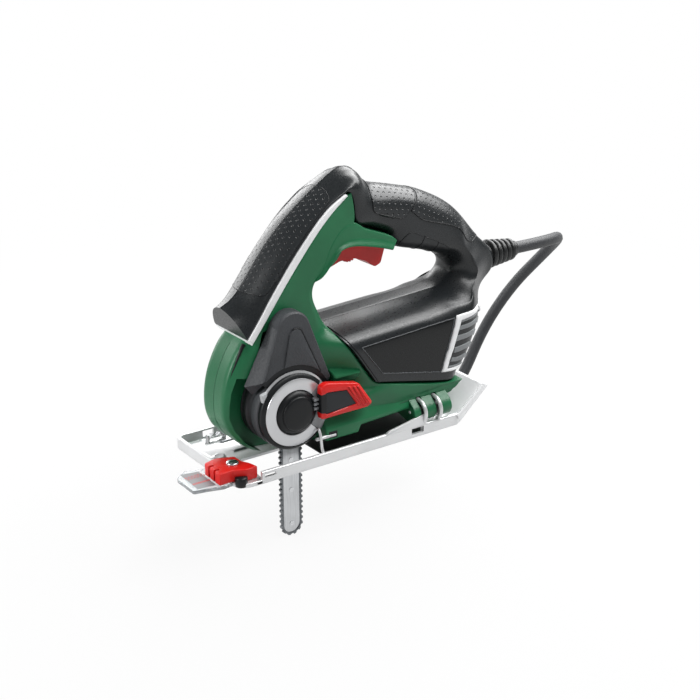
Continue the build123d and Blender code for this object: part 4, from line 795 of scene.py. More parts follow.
green = Shell([
    (bar(117, -5.6), (57.0, 181.0), ROOT_LINE),
    (bar(110, -3.6), (58.4, 175.5), ROOT_LINE),
    (bar(101, -1.8), (59.4, 169.0), ROOT_LINE),
    (bar(92, -0.8), (60.0, 161.5), ROOT_LINE),
    (bar(82, -0.5), (56.0, 153.0), ROOT_LINE),
    (bar(72, -0.6), (50.0, 143.0), ROOT_LINE),
    (bar(61, -0.9), (42.5, 132.5), ROOT_LINE),
    (bar(50, -1.3), (31.5, 127.5), POST_LINE),
    (bar(38, -2.0), (26.6, 120.0), POST_LINE),
    (bar(26, -2.9), (26.6, 111.5), POST_LINE),
    (bar(14, -3.8), (31.6, 101.5), POST_LINE),
    (bar(3, -4.6), (38.2, 92.0), nose_line(19, 0, 12)),
    ((-29.3, 87.5), (41.6, 87.0), nose_line(20, 1, 20.5)),
    ((-34.9, 78.5), (45.6, 81.6), nose_line(20, 12, 32.0)),
    ((-39.8, 68.0), (50.3, 75.1), nose_line(20, 15, 36.4)),
    ((-42.8, 56.5), (57.3, 65.4), nose_line(20, 15, 36.5)),
    ((-43.8, 44.5), (64.4, 55.7), nose_line(20, 15, 36.5)),
    ((-42.6, 33.0), (70.6, 46.6), nose_line(20, 15, 36.5)),
    ((-37.0, 23.5), (80.0, 44.4), skirt_line(19, 36.5)),
    ((-30.0, 15.5), (93.0, 41.4), skirt_line(19.5, 36.5)),
    ((-20.0, 10.5), (106.0, 38.4), skirt_line(20, 36.5)),
    ((-6.0, 9.0), (117.0, 35.8), skirt_line(21, 36.5)),
    ((12.0, 9.6), (125.0, 34.2), skirt_line(24, 36.5)),
    ((32.0, 17.5), (132.5, 32.8), skirt_line(32, 36.4)),
    ((60.0, 20.0), (138.5, 32.0), skirt_line(34.5, 36.0)),
    ((100.0, 20.4), (144.0, 31.8), skirt_line(34.5, 36.2)),
    ((135.6, 21.4), (147.0, 31.6), skirt_line(33.5, 35.4)),
])
green_skin = full_shell("green_casing", green, np.linspace(0, 26, 281), np.linspace(0, 1, 91))
mount(green_skin, "green_body", "front_housing_left", "front_housing_right")

WEDGE_LINE = [(0, 0, 0), (0, 0, 20), (0, 0.4, 23.2), (0, 1.4, 23.6), (0, 5.0, 21.7), (0, 7.0, 21.3),
    (0.6, 0, 21.3), (0.9, 0, 21.2), (1, 0, 20.6), (1, 0, 0)]
FADE_LINE = [(share, along, min(half, 19.5)) for share, along, half in WEDGE_LINE]
wedge = Shell([
    ((22.0, 121.0), (34.0, 140.0), FADE_LINE),
    ((25.0, 123.5), (36.0, 143.0), FADE_LINE),
    ((29.0, 124.5), (38.0, 146.0), WEDGE_LINE),
    ((35.5, 131.0), (44.0, 155.0), WEDGE_LINE),
    ((41.0, 138.8), (52.0, 162.0), WEDGE_LINE),
    ((47.0, 143.6), (60.6, 161.5), WEDGE_LINE),
    ((56.0, 144.6), (68.0, 155.0), WEDGE_LINE),
    ((67.0, 142.4), (76.0, 152.0), WEDGE_LINE),
    ((77.0, 140.2), (85.0, 148.8), WEDGE_LINE),
    ((86.0, 137.4), (92.4, 146.0), WEDGE_LINE),
    ((89.5, 136.2), (95.4, 142.4), WEDGE_LINE),
])
mount(full_shell("trigger_brow", wedge, np.linspace(0, 10, 101), np.linspace(0, 1, 61)), "green_body")


# Overlays: soft pads, panel, vent and joint lines laid on the lofted shells

PAD = dimpled("pitted_soft_grip_shaded", "1c1f21", 0.33)

pad, rim = inlay("front_grip_pad", dark,
                 left=[(2.55, 1), (2.60, 0.86), (2.80, 0.66), (3.05, 0.46), (3.5, 0.38), (3.9, 0.36)],
                 middle=[(5.5, 1), (5.5, 0.8), (5.5, 0.6), (5.5, 0.42), (5.6, 0.32), (5.7, 0.31)],
                 right=[(8.24, 1), (8.36, 0.90), (8.30, 0.70), (8.15, 0.54), (7.9, 0.45), (7.6, 0.41)],
                 lift=0.15, thick=0.5, columns=141)
mount(pad, "soft_grip", "front_grip_inlay", finish=PAD)
mount(groove("front_grip_pad_joint", dark, rim, radius=0.3, lift=0.05), "black_plastic")

pad, rim = inlay("front_handle_pad", dark,
                 left=[(13.2, 1), (13.45, 0.85), (13.7, 0.68), (14.5, 0.52), (15.2, 0.40), (16.2, 0.42)],
                 right=[(17.72, 1), (17.85, 0.87), (17.98, 0.70), (17.95, 0.56), (18.05, 0.42), (17.4, 0.415)])
mount(pad, "soft_grip", "handle_inlay_front", finish=PAD)
mount(groove("front_handle_pad_joint", dark, rim), "black_plastic")

pad, rim = inlay("rear_handle_pad", dark,
                 left=[(17.95, 1), (18.05, 0.87), (18.2, 0.72), (18.2, 0.60), (18.15, 0.555)],
                 middle=[(21.4, 1), (21.4, 0.87), (21.45, 0.74), (21.5, 0.64), (21.6, 0.575)],
                 right=[(24.75, 1), (24.72, 0.94), (24.68, 0.88), (24.60, 0.82), (24.55, 0.785)], columns=121)
mount(pad, "soft_grip", "handle_inlay_rear", finish=PAD)
mount(groove("rear_handle_pad_joint", dark, rim), "black_plastic")

pad, rim = inlay("finger_pads", dark,
                 left=[(20.5, 0), (20.2, 0.12), (19.55, 0.30), (19.7, 0.40), (20.3, 0.39)],
                 right=[(25.1, 0), (24.8, 0.08), (24.2, 0.20), (23.5, 0.31), (22.7, 0.345)],
                 lift=0.25, inner=True)
mount(pad, "soft_grip", "finger_rest")
mount(groove("finger_pad_joint", dark, rim, radius=0.3), "black_plastic")
FINGER_LINES = [[(20.98, 0.385), (21.19, 0.305), (21.39, 0.181), (21.6, 0.01)],
                [(22.19, 0.357), (22.44, 0.263), (22.59, 0.189), (22.9, 0.01)]]
for number, line in enumerate(FINGER_LINES, 1):
    mount(groove(f"finger_pad_line_{number}", dark, line, radius=0.3, lift=0.3), "black_plastic")

mount(groove("crest_joint", dark, [(0.4, 0.999), (27.0, 0.999)], radius=0.22, lift=0.0, count=300, far=False),
    "black_plastic")
mount(groove("seam_shadow", dark, [(38.9, 0.26), (38.9, 0.60), (38.9, 0.895), (38.5, 0.925), (34.0, 0.925)],
    count=240), "black_plastic")


def panel_places(corners, rows, columns):
    """Stations and places across for a four cornered panel whose edges are straight in the side view."""
    few, many = np.linspace(0, 1, 9), np.linspace(0, 1, 13)
    down, along = np.meshgrid(few, many, indexing="ij")
    a, b, c, d = [np.array(corner, float) for corner in corners]
    down, along = down[..., None], along[..., None]
    flat = (a * (1 - along) + b * along) * (1 - down) + (d * (1 - along) + c * along) * down
    known = dark.find(flat, 29.5, 38.98).reshape(9, 13, 2)
    wide = np.stack([line_at(np.linspace(0, 1, columns), many, row) for row in known])
    return np.stack([line_at(np.linspace(0, 1, rows), few, wide[:, k]) for k in range(columns)], axis=1)


place = panel_places([(54.4, 75.6), (137.2, 80.6), (124.4, 42.4), (72.2, 53.0)], 31, 61)
skin = lifted(dark, place[..., 0], place[..., 1], 0.3)
mount(sheet_piece("side_panel_near", skin, 1.0, turned=True), "black_panel", "side_panels")
mount(sheet_piece("side_panel_far", far_copy(skin), 1.0), "black_panel", "side_panels")
rim = np.concatenate([place[0], place[1:, -1], place[-1, -2::-1], place[-2::-1, 0]])
mount(groove("side_panel_rim", dark, rim, radius=0.4, lift=0.3, count=300), "dark_body",
    finish=FINISHES["grille"])


def side_trace(corners, steps=6):
    """Places on the dark shell under straight lines of the side view."""
    corners = np.array(corners, float)
    runs = [np.linspace(a, b, steps, endpoint=False) for a, b in zip(corners[:-1], corners[1:])]
    return dark.find(np.concatenate([*runs, corners[-1:]]), 29.5, 38.9).tolist()


FRAME_OUT = [(30.0, 1.0), (30.1, 0.87), (30.4, 0.75),
             *side_trace([(164.0, 84.6), (139.5, 82.2), (125.2, 41.6), (146.5, 38.6)]),
             (33.75, 0.87), (33.45, 1.0)]
FRAME_IN = [(30.35, 1.0), (30.45, 0.87), (30.76, 0.753),
            *side_trace([(163.0, 80.4), (143.6, 77.6), (131.2, 43.4), (146.5, 42.6)]),
            (33.3, 0.87), (33.0, 1.0)]
VENT_TOP = [*side_trace([(143.6, 77.6), (163.0, 80.4)]), (30.45, 0.87), (30.35, 1.0)]
VENT_WAIST = [*side_trace([(137.4, 60.5), (155.0, 61.6)]), (31.9, 0.87), (31.7, 1.0)]
VENT_FOOT = [*side_trace([(131.2, 43.4), (146.5, 42.6)]), (33.3, 0.87), (33.0, 1.0)]
for piece in strip("vent_rim", dark, FRAME_OUT, FRAME_IN, 0.9, 1.4, steps=4):
    mount(piece, "white_trim", "vent_frame")


def grille():
    """A louvred skin: five bars and slots as a wave of lift across a patch whose cross lines are parabolas
    through three lines of the shell."""
    bars = 5
    down = np.linspace(0, 1, 141)[:, None]
    along = np.linspace(0, 1, 45)
    spots = np.arange(len(VENT_TOP))
    lines = [line_at(along * spots[-1], spots, line)[None] for line in (VENT_TOP, VENT_WAIST, VENT_FOOT)]
    place = parabola(*lines, down[..., None])
    phase = down * bars - np.floor(down * bars)
    gap = np.clip((SLOT_EDGE[1] - np.abs(phase - 0.5)) / 0.07, 0, 1)
    lift = 0.7 - 2.6 * gap * gap * (3 - 2 * gap)
    near = lifted(dark, place[..., 0], place[..., 1], lift[..., None])
    chart = np.stack(np.broadcast_arrays(map_mm(near)[..., 0], down * bars), axis=-1).reshape(-1, 2)
    faces = quads(*near.shape[:2])
    finish = louvred("vent_bars", "75787a")
    for name, grid, sides in (("vent_bars", near, faces[:, ::-1]), ("vent_bars_far", far_copy(near), faces)):
        piece = walled(piece_from(name, grid.reshape(-1, 3), sides, uv=chart), 0.8)
        mount(piece, "grille", "vent_grille", finish=finish)


grille()


# Bellows of the strain relief

def bellows():
    """Five fat ribs, half round in section, that shrink towards the cord, carried round the cord's axis."""
    ribs = []
    for number in range(5):
        low, crest, root = 196.6 + 5.1 * number, 11.0 - 0.62 * number, 8.2 - 0.5 * number
        turn = np.linspace(0, np.pi, 11)
        ribs += [(low + 2.55 - 2.35 * np.cos(t), root + (crest - root) * np.sin(t) ** 0.8) for t in turn]
    profile = [(190.0, 7.6), (196.0, 8.0), *ribs, (222.6, 6.4), (225.0, 6.0), (225.6, 5.4)]
    return turned_piece("cord_bellows", profile, (0, MID_Y, 110), 0)


mount(bellows(), "rubber", "strain_relief")


# Green extras: hinge knuckles, ledge over the lever, slit and parting line of the nose

HINGE = (-9.0, 16.0)
HOOPS = (105.0, 119.0)
SOLE = FINISHES["sole_metal"]
knuckle = wrap_round(np.concatenate([ring_points(HINGE, 7.2), [(0.0, 30.0), (6.0, 24.0), (4.0, 12.0)]]))
carrier = wrap_round(np.array([(-9.0, 25.0), (-14.0, 21.5), (0, 33.0), (6, 28), (4, 20)], float))
for number, (low, high) in enumerate(((96.5, 102.6), (107.4, 116.6), (121.4, 131)), 1):
    mount(block(f"hinge_knuckle_{number}", knuckle, 0, low, high), "green_body")
    mount(block(f"hinge_carrier_{number}", carrier, 0, low, high), "green_body")
mount(turned_piece("hinge_core", [(98.0, 5.0), (99.0, 6.2), (129.0, 6.2), (130.0, 5.0)], (0, *HINGE), 0),
    "black_plastic")


def flange_section(low, front):
    """A cross section of the hinge flange: upright face, sloping shoulder and open back."""
    return eased([(front, low), (front, 22.5), (-4.0, 34.0), (3.0, 34.0), (2.0, low)], 1.2)


head, tail = flange_section(14.0, -10.6), flange_section(20.2, -9.4)
mount(stack("hinge_flange", [(23.2, shrunk(head, 0.8)), (23.5, shrunk(head, 0.3)), (24.2, head), (50.2, head),
    (53.0, flange_section(18.8, -10.2)), (97.0, tail), (98.0, shrunk(tail, 0.5))], 0), "green_body")
hatch = eased([(25.2, 20.6), (32.4, 20.4), (32.4, 15.6), (25.6, 15.8)], 0.5)
mount(block("flange_window", hatch, 1, -10.75, -9.0, rounding=0.1), "black_plastic")
for name, low, high in (("hinge_pin_front", 15.0, 31.4), ("hinge_pin_rear", 96.0, 131.4)):
    mount(turned_piece(name, [(low, 0.9), (low + 0.4, 1.3), (high - 0.4, 1.3), (high, 0.9)],
        (0, HINGE[0] - 0.9, HINGE[1] + 1.4), 0, sides=24), "bright_steel", "hinge_pins", finish=SOLE)
ledge = [(8, 64.0), (-3.0, 60.4), (-7.2, 58.6), (-7.6, 57.4), (-4.6, 52.6), (8, 49.0)]
mount(block("lever_ledge", ledge, 0, 33.0, 55.0, rounding=1.2), "green_body")

mount(groove("nose_slit", green, [(11.7, 0.27), (12.38, 0.294), (13.31, 0.301), (14.34, 0.294)],
    radius=(1.5, 0.15), lift=-0.3, far=False), "black_plastic")
LINE_GREEN = moulding("joint_green", "12482d", 0.5)
mount(groove("nose_joint", green, [(12.0, 0.001), (18.5, 0.001)], radius=0.18, lift=0.0, far=False),
    "green_body", finish=LINE_GREEN)
mount(groove("skirt_joint", green, [(23.95, 0.2), (23.82, 0.271), (23.42, 0.502), (23.3, 0.58)], radius=0.25),
    "green_body", finish=LINE_GREEN)


# Gear case, cover and blade clamp

HUB = (0.0, 0.0, 41.0)
POCKET = [(-27.4, 66.5), (-34.5, 67.2), (-38.6, 57), (-40, 48), (-40.3, 39.5), (-37.4, 30), (-31, 20.5),
    (-21, 12.5), (-8, 6), (14, 6), (24, 20), (30, 41), (24, 62), (12, 92), (-4, 100), (-13.5, 96),
    (-19.6, 83)]
# Painted shade: the pocket's and hoop rooms' cut faces get a near-black copy of the green, and the pocket
# outline also takes in the strip of shadow beside the cover's flank.
POCKET_PAINTED_SHADE = moulding("pocket_green_painted_shade", "06150d", 0.7)
cut_away(green_skin, block("pocket_cutter", POCKET, 1, -30.0, 19.4, rounding=0.05), POCKET_PAINTED_SHADE)
for spot in HOOPS:
    room = [(spot - 2.0, 6.6), (spot + 2.0, 6.6), (spot + 2.0, 11.2), (spot - 2.0, 11.2)]
    cut_away(green_skin, ring_piece("hoop_room", room, (0, *HINGE), 0, start=28, stop=92, sides=24),
        POCKET_PAINTED_SHADE)

mount(turned_piece("gear_drum", [(-4.0, 25.6), (-2.4, 25.8), (-2.0, 27.0), (-1.6, 27.3), (4.8, 27.3),
    (5.2, 27.0), (5.6, 25.2), (11.8, 25.2), (12.2, 27.0), (12.5, 27.3), (15.8, 27.3), (16.1, 27.0),
    (16.4, 25.4), (18.0, 25.4), (18.3, 27.0), (19.6, 27.0)], HUB, 1, sides=96), "gear_cover", "gear_case")


def cover_outline(left, low, right, foot, top_r, arc_r):
    """The cover's face: straight flanks under a round top, and an arc round the knob below."""
    top = ring_points((2.0, 97.0), top_r, 25, 168, 22)
    ends = [math.degrees(math.atan2(p[1] - HUB[2], p[0])) for p in (foot, low)]
    arc = ring_points((0.0, HUB[2]), arc_r, 31, *ends)
    return np.concatenate([np.array([left]), top, np.array([right, foot]), arc])


back = cover_outline((-31.5, 62.5), (-26.0, 56.0), (33.0, 58.5), (30.5, 54.5), 13.8, 30.0)
rise = cover_outline((-23.0, 65.4), (-20.5, 64.0), (31.9, 58.3), (29.9, 55.2), 13.6, 31.4)
face = cover_outline((-21.6, 66.6), (-19.6, 65.8), (30.6, 58.6), (28.8, 56.4), 12.4, 32.4)
mount(stack("cover_plate", [(-4.0, face), (-2.8, rise), (4.6, back), (6.0, back)], 1),
      "gear_cover", "gear_cover")
crest = ring_points((3.2, 93.4), 5.2, 25, 167, 22)
foot = ring_points((0.0, HUB[2]), 32.4, 31, 46, 101)
raised = np.concatenate([crest, foot])
mount(block("cover_raised_field", raised, 1, -5.0, -3.6, rounding=0.4), "gear_cover", "cover_inlay")
edge = resample(np.concatenate([crest[8:], foot[:1]]), 60)
edge = np.stack([edge[:, 0] + 0.5, np.full(60, -4.1), edge[:, 1] + 0.2], axis=1)
mount(piece_from("cover_groove", *bead(edge, (0, -1, 0), 0.8)), "black_plastic")
# A black band in the gap between knob and cover: painted shade in the gap.
mount(ring_piece("knob_gap_shade", [(-3.9, 26.0), (-2.0, 26.0), (-2.0, 33.4), (-3.9, 33.4)], HUB, 1, start=-44,
    stop=66), "black_plastic")

KNOB_GREY = moulding("knob_grey", "7d8083", 0.40, depth=0.06)
PALE_GREY = moulding("latch_grey", "a9abad", 0.42, depth=0.06)
mount(turned_piece("knob_body", [(-8.4, 8.0), (-8.4, 24.6), (-8.2, 25.2), (-7.2, 26.8), (-6.8, 27.1),
    (-3.4, 27.1), (-3.2, 26.8), (-3.2, 8.0)], HUB, 1, sides=96), "black_plastic", "clamp_drum", body="clamp")
mount(ring_piece("knob_bright_rim", [(-5.6, 27.0), (-4.2, 27.0), (-4.2, 28.2), (-4.6, 28.6), (-5.2, 28.4)],
    HUB, 1, start=-56, stop=84), "knob_ring", body="clamp")
mount(ring_piece("knob_cheek", [(-8.7, 16.4), (-6.0, 16.4), (-6.0, 27.6), (-7.0, 27.4), (-8.7, 24.6)], HUB, 1,
                 start=49, stop=133), "knob_ring", body="clamp", finish=KNOB_GREY)
mount(ring_piece("knob_silver_ring", [(-9.0, 16.3), (-8.2, 15.8), (-8.2, 24.2), (-8.8, 24.0), (-9.1, 23.4),
    (-9.1, 16.9)], HUB, 1, start=134, stop=408), "knob_ring", "clamp_ring", body="clamp")
mount(turned_piece("knob_hub", [(-10.7, 6.0), (-10.7, 13.0), (-10.5, 13.4), (-8.5, 15.9), (-8.2, 15.9)], HUB,
    1, sides=96), "black_plastic", "clamp_drum", body="clamp")
mount(turned_piece("knob_cap", [(-12.9, 0.4), (-12.8, 6.0), (-12.6, 10.2), (-12.2, 11.6), (-11.6, 12.1),
    (-10.4, 12.2)], HUB, 1, sides=96), "black_plastic", "clamp_cap", body="clamp")
latch = eased([(-25.7, 58.4), (-21.2, 59.7), (-20.0, 50.8), (-24.7, 52.7)], 0.6)
mount(block("knob_latch", latch, 1, -6.6, -3.4), "knob_ring", body="clamp", finish=PALE_GREY)
for number, height in enumerate((41.4, 44.6, 47.8), 1):
    low, high = height - 0.5, height + 0.9
    tooth = eased([(12.2, height - 0.9), (17.4, low), (17.4, high), (12.2, height + 1.1)], 0.3)
    mount(block(f"knob_tooth_{number}", tooth, 1, -12.4, -8.6, rounding=0.3), "knob_ring", body="clamp",
        finish=KNOB_GREY)

LEVER = eased([(15.9, 57.4), (20.5, 59.4), (47.2, 53.6), (59.1, 36.6), (55.6, 34.2), (15.9, 33.8)], 1.8)
LEVER_WINDOW = eased([(19.8, 52.8), (37.0, 50.9), (45.3, 38.7), (19.8, 36.7)], 0.8)
LEVER_MIDDLE = (31.0, 45.0)
outer, window = by_angle(LEVER, LEVER_MIDDLE), by_angle(LEVER_WINDOW, LEVER_MIDDLE)


def inset(loop, by):
    """A loop drawn in towards the middle of the lever."""
    out = loop - LEVER_MIDDLE
    return np.asarray(LEVER_MIDDLE) + out * (1 - by / np.linalg.norm(out, axis=1, keepdims=True))


mount(stack("lever_frame", [(-15.6, inset(outer, 0.8)), (-15.3, inset(outer, 0.25)), (-14.8, outer),
    (-10.6, outer), (-10.0, inset(outer, 0.6)), (-10.0, window), (-15.2, window),
    (-15.6, inset(window, -0.4))], 1, hollow=True), "red_plastic", "clamp_lever", body="lever")
LEVER_GREY = moulding("lever_panel_grey", "24272a", 0.45, depth=0.05, Specular_IOR_Level=0.25)
mount(block("lever_dark_panel", inset(window, 0.15), 1, -15.2, -10.4, rounding=0.4), "black_plastic",
    "lever_panel", body="lever", finish=LEVER_GREY)
mount(turned_piece("lever_pin_core", [(35.2, 1.0), (35.4, 1.4), (55.6, 1.4), (55.8, 1.0)], (19.5, -12.8, 0), 2,
    sides=32), "bright_steel", "lever_pin", body="clamp")
# A black block across the lever's fork: painted shade in the gap between its arms.
fork = eased([(15.7, 51.8), (20.3, 52.4), (20.3, 37.6), (15.7, 38.6)], 0.4)
mount(block("lever_fork_gap_shade", fork, 1, -15.75, -10.2, rounding=0.3), "black_plastic", body="lever")
RIBS = [((38.6, 53.2), (48.0, 36.6)), ((42.4, 52.7), (51.8, 36.2)), ((46.0, 51.9), (55.4, 35.9))]
for number, (top, low) in enumerate(RIBS, 1):
    rib = eased([(top[0] - 1.1, top[1]), (top[0] + 1.1, top[1]), (low[0] + 1.1, low[1]),
        (low[0] - 1.1, low[1])], 0.5)
    mount(block(f"lever_rib_{number}", rib, 1, -16.2, -15.0, rounding=0.45), "red_plastic", body="lever")


# Sole plate, hinge hoops, cut guide and window

HOOK_X = 17.2
PLATE_HOLE = (-36.4, 34.5)
# A lighter, less metallic copy of the sole's finish for the ramp: painted light on its up-facing face.
SOLE_RAMP_LIT = moulding("sole_ramp", "e9eaeb", 0.42, grain=1800, depth=0.03, patch=0.06, metal=0.2)
# A darker, more metallic copy of the sole's finish for the well's floor and its ridges: painted shade under
# the body.
SOLE_FLOOR_SHADED = moulding("sole_floor_painted_shade", "85878a", 0.36, grain=1800, depth=0.03, patch=0.06, metal=0.75)
tray = eased([(-52, 69), (137, 69), (137, -17), (-43, -17), (-52, -9)], (5, 1.8, 1.8, 6, 6), steps=8)
well = eased([(-49.8, 66.8), (150, 66.8), (150, -14.8), (-42, -14.8), (-49.8, -8)], 4.5, steps=8)
pan = stack("sole_tray", [(0.0, shrunk(tray, 1.0)), (0.3, shrunk(tray, 0.3)), (1.0, tray), (8.3, tray),
    (8.8, shrunk(tray, 0.3)), (9.0, shrunk(tray, 0.9))], 2)
mount(pan, "sole_metal", "sole_plate", body="sole")
cut_away(pan, stack("well_cutter", [(1.8, shrunk(well, 1.0)), (2.2, shrunk(well, 0.3)), (3.0, well),
    (14.0, well)], 2), SOLE_FLOOR_SHADED)
OPENINGS = [
    (eased([(-30, -13), (12, -13), (12, -3), (30, -3), (30, 22), (-27, 22)], 1.5), -1, 6),
    (ring_points(PLATE_HOLE, 3.0), -1, 6),
    ([(-56, -22), (-33, -22), (-33, -14), (-40, 14.5), (-56, 14.5)], 3.0, 12),
    ([(-31, 60), (-22, 60), (-22, 75), (-31, 75)], 3.2, 7.9),
    ([(-31, -20), (-22, -20), (-22, -12), (-31, -12)], 4.6, 6.8),
    ([(93, -20), (104, -20), (104, -12), (93, -12)], 3.2, 7.6),
]
for outline, low, high in OPENINGS:
    cut_away(pan, block("opening_cutter", outline, 2, low, high, rounding=0.05), SOLE)


def ramp():
    """The rear ramp: a path that bends upwards, with a flat section whose two ends turn up into rims, lifted
    along the path's normals."""
    path = smooth_line([(131.0, 0.0), (137.5, 0.0), (141.5, 3.6), (150.5, 11.6), (165.0, 24.4)], 60)
    run = np.gradient(path, axis=0)
    rise = np.stack([-run[:, 1], run[:, 0]], axis=1) / np.linalg.norm(run, axis=1, keepdims=True)
    edge = np.array([(0.0, 1.0), (0.0, 0.3), (0.3, 0.08), (1.0, 0.0)])
    side = np.concatenate([np.stack([-16.85 + 1.4 * edge[:, 0], edge[:, 1]], axis=1), [(26.0, 0.0)],
                           np.stack([68.85 - 1.4 * edge[:, 0], edge[:, 1]], axis=1)[::-1]])
    height = np.linspace(9.0, 5.0, 60)[:, None]
    lift = side[None, :, 1] * height
    grid = np.zeros((60, len(side), 3))
    grid[..., 0] = path[:, :1] + lift * rise[:, :1]
    grid[..., 1] = side[None, :, 0]
    grid[..., 2] = path[:, 1:] + lift * rise[:, 1:]
    return sheet_piece("sole_ramp", grid, 1.8)


# The ramp wears the lit copy of the sole's finish: painted light.
mount(ramp(), "sole_metal", "sole_plate", body="sole", finish=SOLE_RAMP_LIT)
# The ridges take the shaded copy of the sole's finish: painted shade.
for number, ridge in enumerate((36.0, 54.0), 1):
    line = np.stack([np.linspace(-24, 22, 40), np.full(40, ridge), np.full(40, 1.7)], axis=1)
    mount(piece_from(f"sole_ridge_{number}", *bead(line, (0, 0, 1), 1.3)), "sole_metal", body="sole",
        finish=SOLE_FLOOR_SHADED)
for number, spot in enumerate((-31.5, -18.0), 1):
    tab = eased([(57.6, 1.5), (62.4, 1.5), (61.6, 7.6), (58.4, 7.6)], 0.8)
    mount(block(f"rod_tab_{number}", tab, 0, spot, spot + 1.3, rounding=0.3), "sole_metal", body="sole")
mount(ring_piece("hole_lip", [(1.7, 3.0), (1.7, 4.8), (2.0, 4.8), (2.5, 3.6), (2.5, 3.0)][::-1],
    (*PLATE_HOLE, 0), 2, sides=48), "sole_metal", body="sole")
gusset = eased([(69.0, 8.2), (107.0, 8.2), (107.0, 16.0), (102.0, 16.0), (72.5, 10.8)], 0.8)
mount(block("hinge_gusset", gusset, 1, -16.9, -15.2, rounding=0.3), "sole_metal", body="sole")
# A black sheet on the floor under the body: painted shade where the body shadows the sole.
shade_under_body = eased([(24.0, -14.6), (117.0, -14.6), (117.0, 66.6), (24.0, 66.6)], 0.8)
mount(block("sole_floor_shade_sheet", shade_under_body, 2, 1.2, 2.2, rounding=0.2), "sole_metal", body="sole",
    finish=FINISHES["black_plastic"])
hook = smooth_line([(-15.8, 8.4), (-14.2, 10.4), (-13.4, 13.5), (-12.8, 18.0), (-12.2, 21.1), (-10.8, 23.8),
    (-9.6, 24.8)], 40)
hook = np.concatenate([np.full((40, 1), HOOK_X), hook], axis=1)
mount(piece_from("hinge_hook", *bead(hook, (1, 0, 0), 1.0, sides=14)), "bright_steel", "sole_plate",
    body="sole", finish=SOLE)
for number, spot in enumerate(HOOPS, 1):
    rod = ring_points((spot, 8.9), 1.5, 12)
    mount(ring_piece(f"hinge_hoop_{number}", rod, (0, *HINGE), 0, start=80, stop=236, sides=48),
        "bright_steel", "sole_plate", body="sole", finish=SOLE)
    leg = [(-15.0, 1.5), (-13.4, 1.5), (-13.4, 10.2), (-15.0, 9.6)]
    mount(block(f"hinge_leg_{number}", leg, 0, spot - 1.4, spot + 1.4, rounding=0.3), "bright_steel",
        body="sole", finish=SOLE)

guide = eased([(-60.6, 12.2), (-51, 14.8), (-38.4, 9.6), (-38.2, 1.0), (-35.2, -4.8), (-33.6, -12.6),
    (-42, -12.8), (-50.5, -8.6), (-61.2, -9.0)], 1.6)
red_guide = block("red_cut_guide", guide, 2, 3.6, 12.2, rounding=0.9)
mount(red_guide, "red_plastic", "cut_guide", body="sole")
for spot in (5.4, -2.0):
    slot = eased([(-66, spot - 1.1), (-57.0, spot - 1.1), (-57.0, spot + 1.1), (-66, spot + 1.1)], 0.5)
    cut_away(red_guide, block("notch_cutter", slot, 2, 0, 20, rounding=0.05), FINISHES["red_plastic"])
mount(turned_piece("guide_screw_head", [(10.0, 3.2), (12.2, 4.2), (13.2, 4.2), (13.7, 3.7), (13.8, 0.4)],
    (-45.6, 0.4, 0), 2), "bright_steel", "cut_guide_screw", body="sole")
cross = eased([(-48.4, -0.2), (-42.8, -0.2), (-42.8, 1.0), (-48.4, 1.0)], 0.2)
mount(block("guide_screw_slot", cross, 2, 13.0, 13.9, rounding=0.05), "bright_steel", body="sole",
    finish=FINISHES["black_plastic"])
# A black cylinder at the near rail's front end: painted shade for the dark inside of the rail's rolled end.
mount(turned_piece("rail_end_shade_plug", [(0.6, 3.6), (1.2, 4.3), (6.6, 4.3), (7.4, 3.8), (7.5, 0.4)],
    (-46.2, -11.6, 0), 2, sides=40), "black_plastic", body="sole")
toe = eased([(-50.5, -5), (-40, -5), (-30, -12.5), (-30, -17), (-43, -17), (-50.5, -13)], 3.0)
mount(block("rail_toe", toe, 2, 0.2, 3.4, rounding=0.8), "sole_metal", body="sole")


def printed_ticks():
    """Two rows of short red marks, each a thin box, as one array of boxes on the window."""
    marks = ((6, 15.4), (10, 4.4))
    rows = [np.stack([np.linspace(-73.2, -61.4, n), np.full(n, y)], axis=1) for n, y in marks]
    spots = np.concatenate([*rows, rows[0] + (0.8, -2.6)])
    plan = ((-0.32, -1.0), (0.32, -1.0), (0.32, 1.0), (-0.32, 1.0))
    corner = np.array([(x, y, z) for z in (3.1, 3.24) for x, y in plan])
    points = np.concatenate([spots, np.zeros((len(spots), 1))], axis=1)[:, None] + corner[None]
    side = np.array([(3, 2, 1, 0), (4, 5, 6, 7), (0, 1, 5, 4), (1, 2, 6, 5), (2, 3, 7, 6), (3, 0, 4, 7)])
    faces = (side[None] + 8 * np.arange(len(spots))[:, None, None]).reshape(-1, 4)
    return piece_from("window_ticks", points.reshape(-1, 3), faces, smooth=False)


mount(printed_ticks(), "clear_window", body="sole", finish=FINISHES["red_plastic"])
HATCH = moulding("window_grey_print", "8a8c8e", 0.5, grain=700, depth=0.02, patch=0.15)
band = eased([(-73.5, 22.5), (-61.2, 19.6), (-61.4, -4.6), (-74.5, -3.2)], 0.6)
mount(block("window_grey_band", band, 2, 2.9, 3.14, rounding=0.03), "clear_window", body="sole", finish=HATCH)


# Casing screws, seated on the far sides

SEATS = [(green, (42, 150), 0, 12), (green, (14, 108), 5, 13), (green, (56, 25), 19, 26),
         (green, (140, 25), 22, 26), (dark, (157, 118), 22, 29), (dark, (172, 104), 24, 30)]
for number, (shell, spot, low, high) in enumerate(SEATS, 1):
    seat = far_copy(shell.at(*shell.find([spot], low, high).T))[0]
    mount(turned_piece(f"casing_screw_{number}", [(-4.0, 2.6), (0.1, 3.1), (0.45, 2.9), (0.6, 2.4), (0.6, 1.7),
        (-0.9, 1.4)], seat, 1, sides=32), "bright_steel", "housing_screws")


# Floor and light

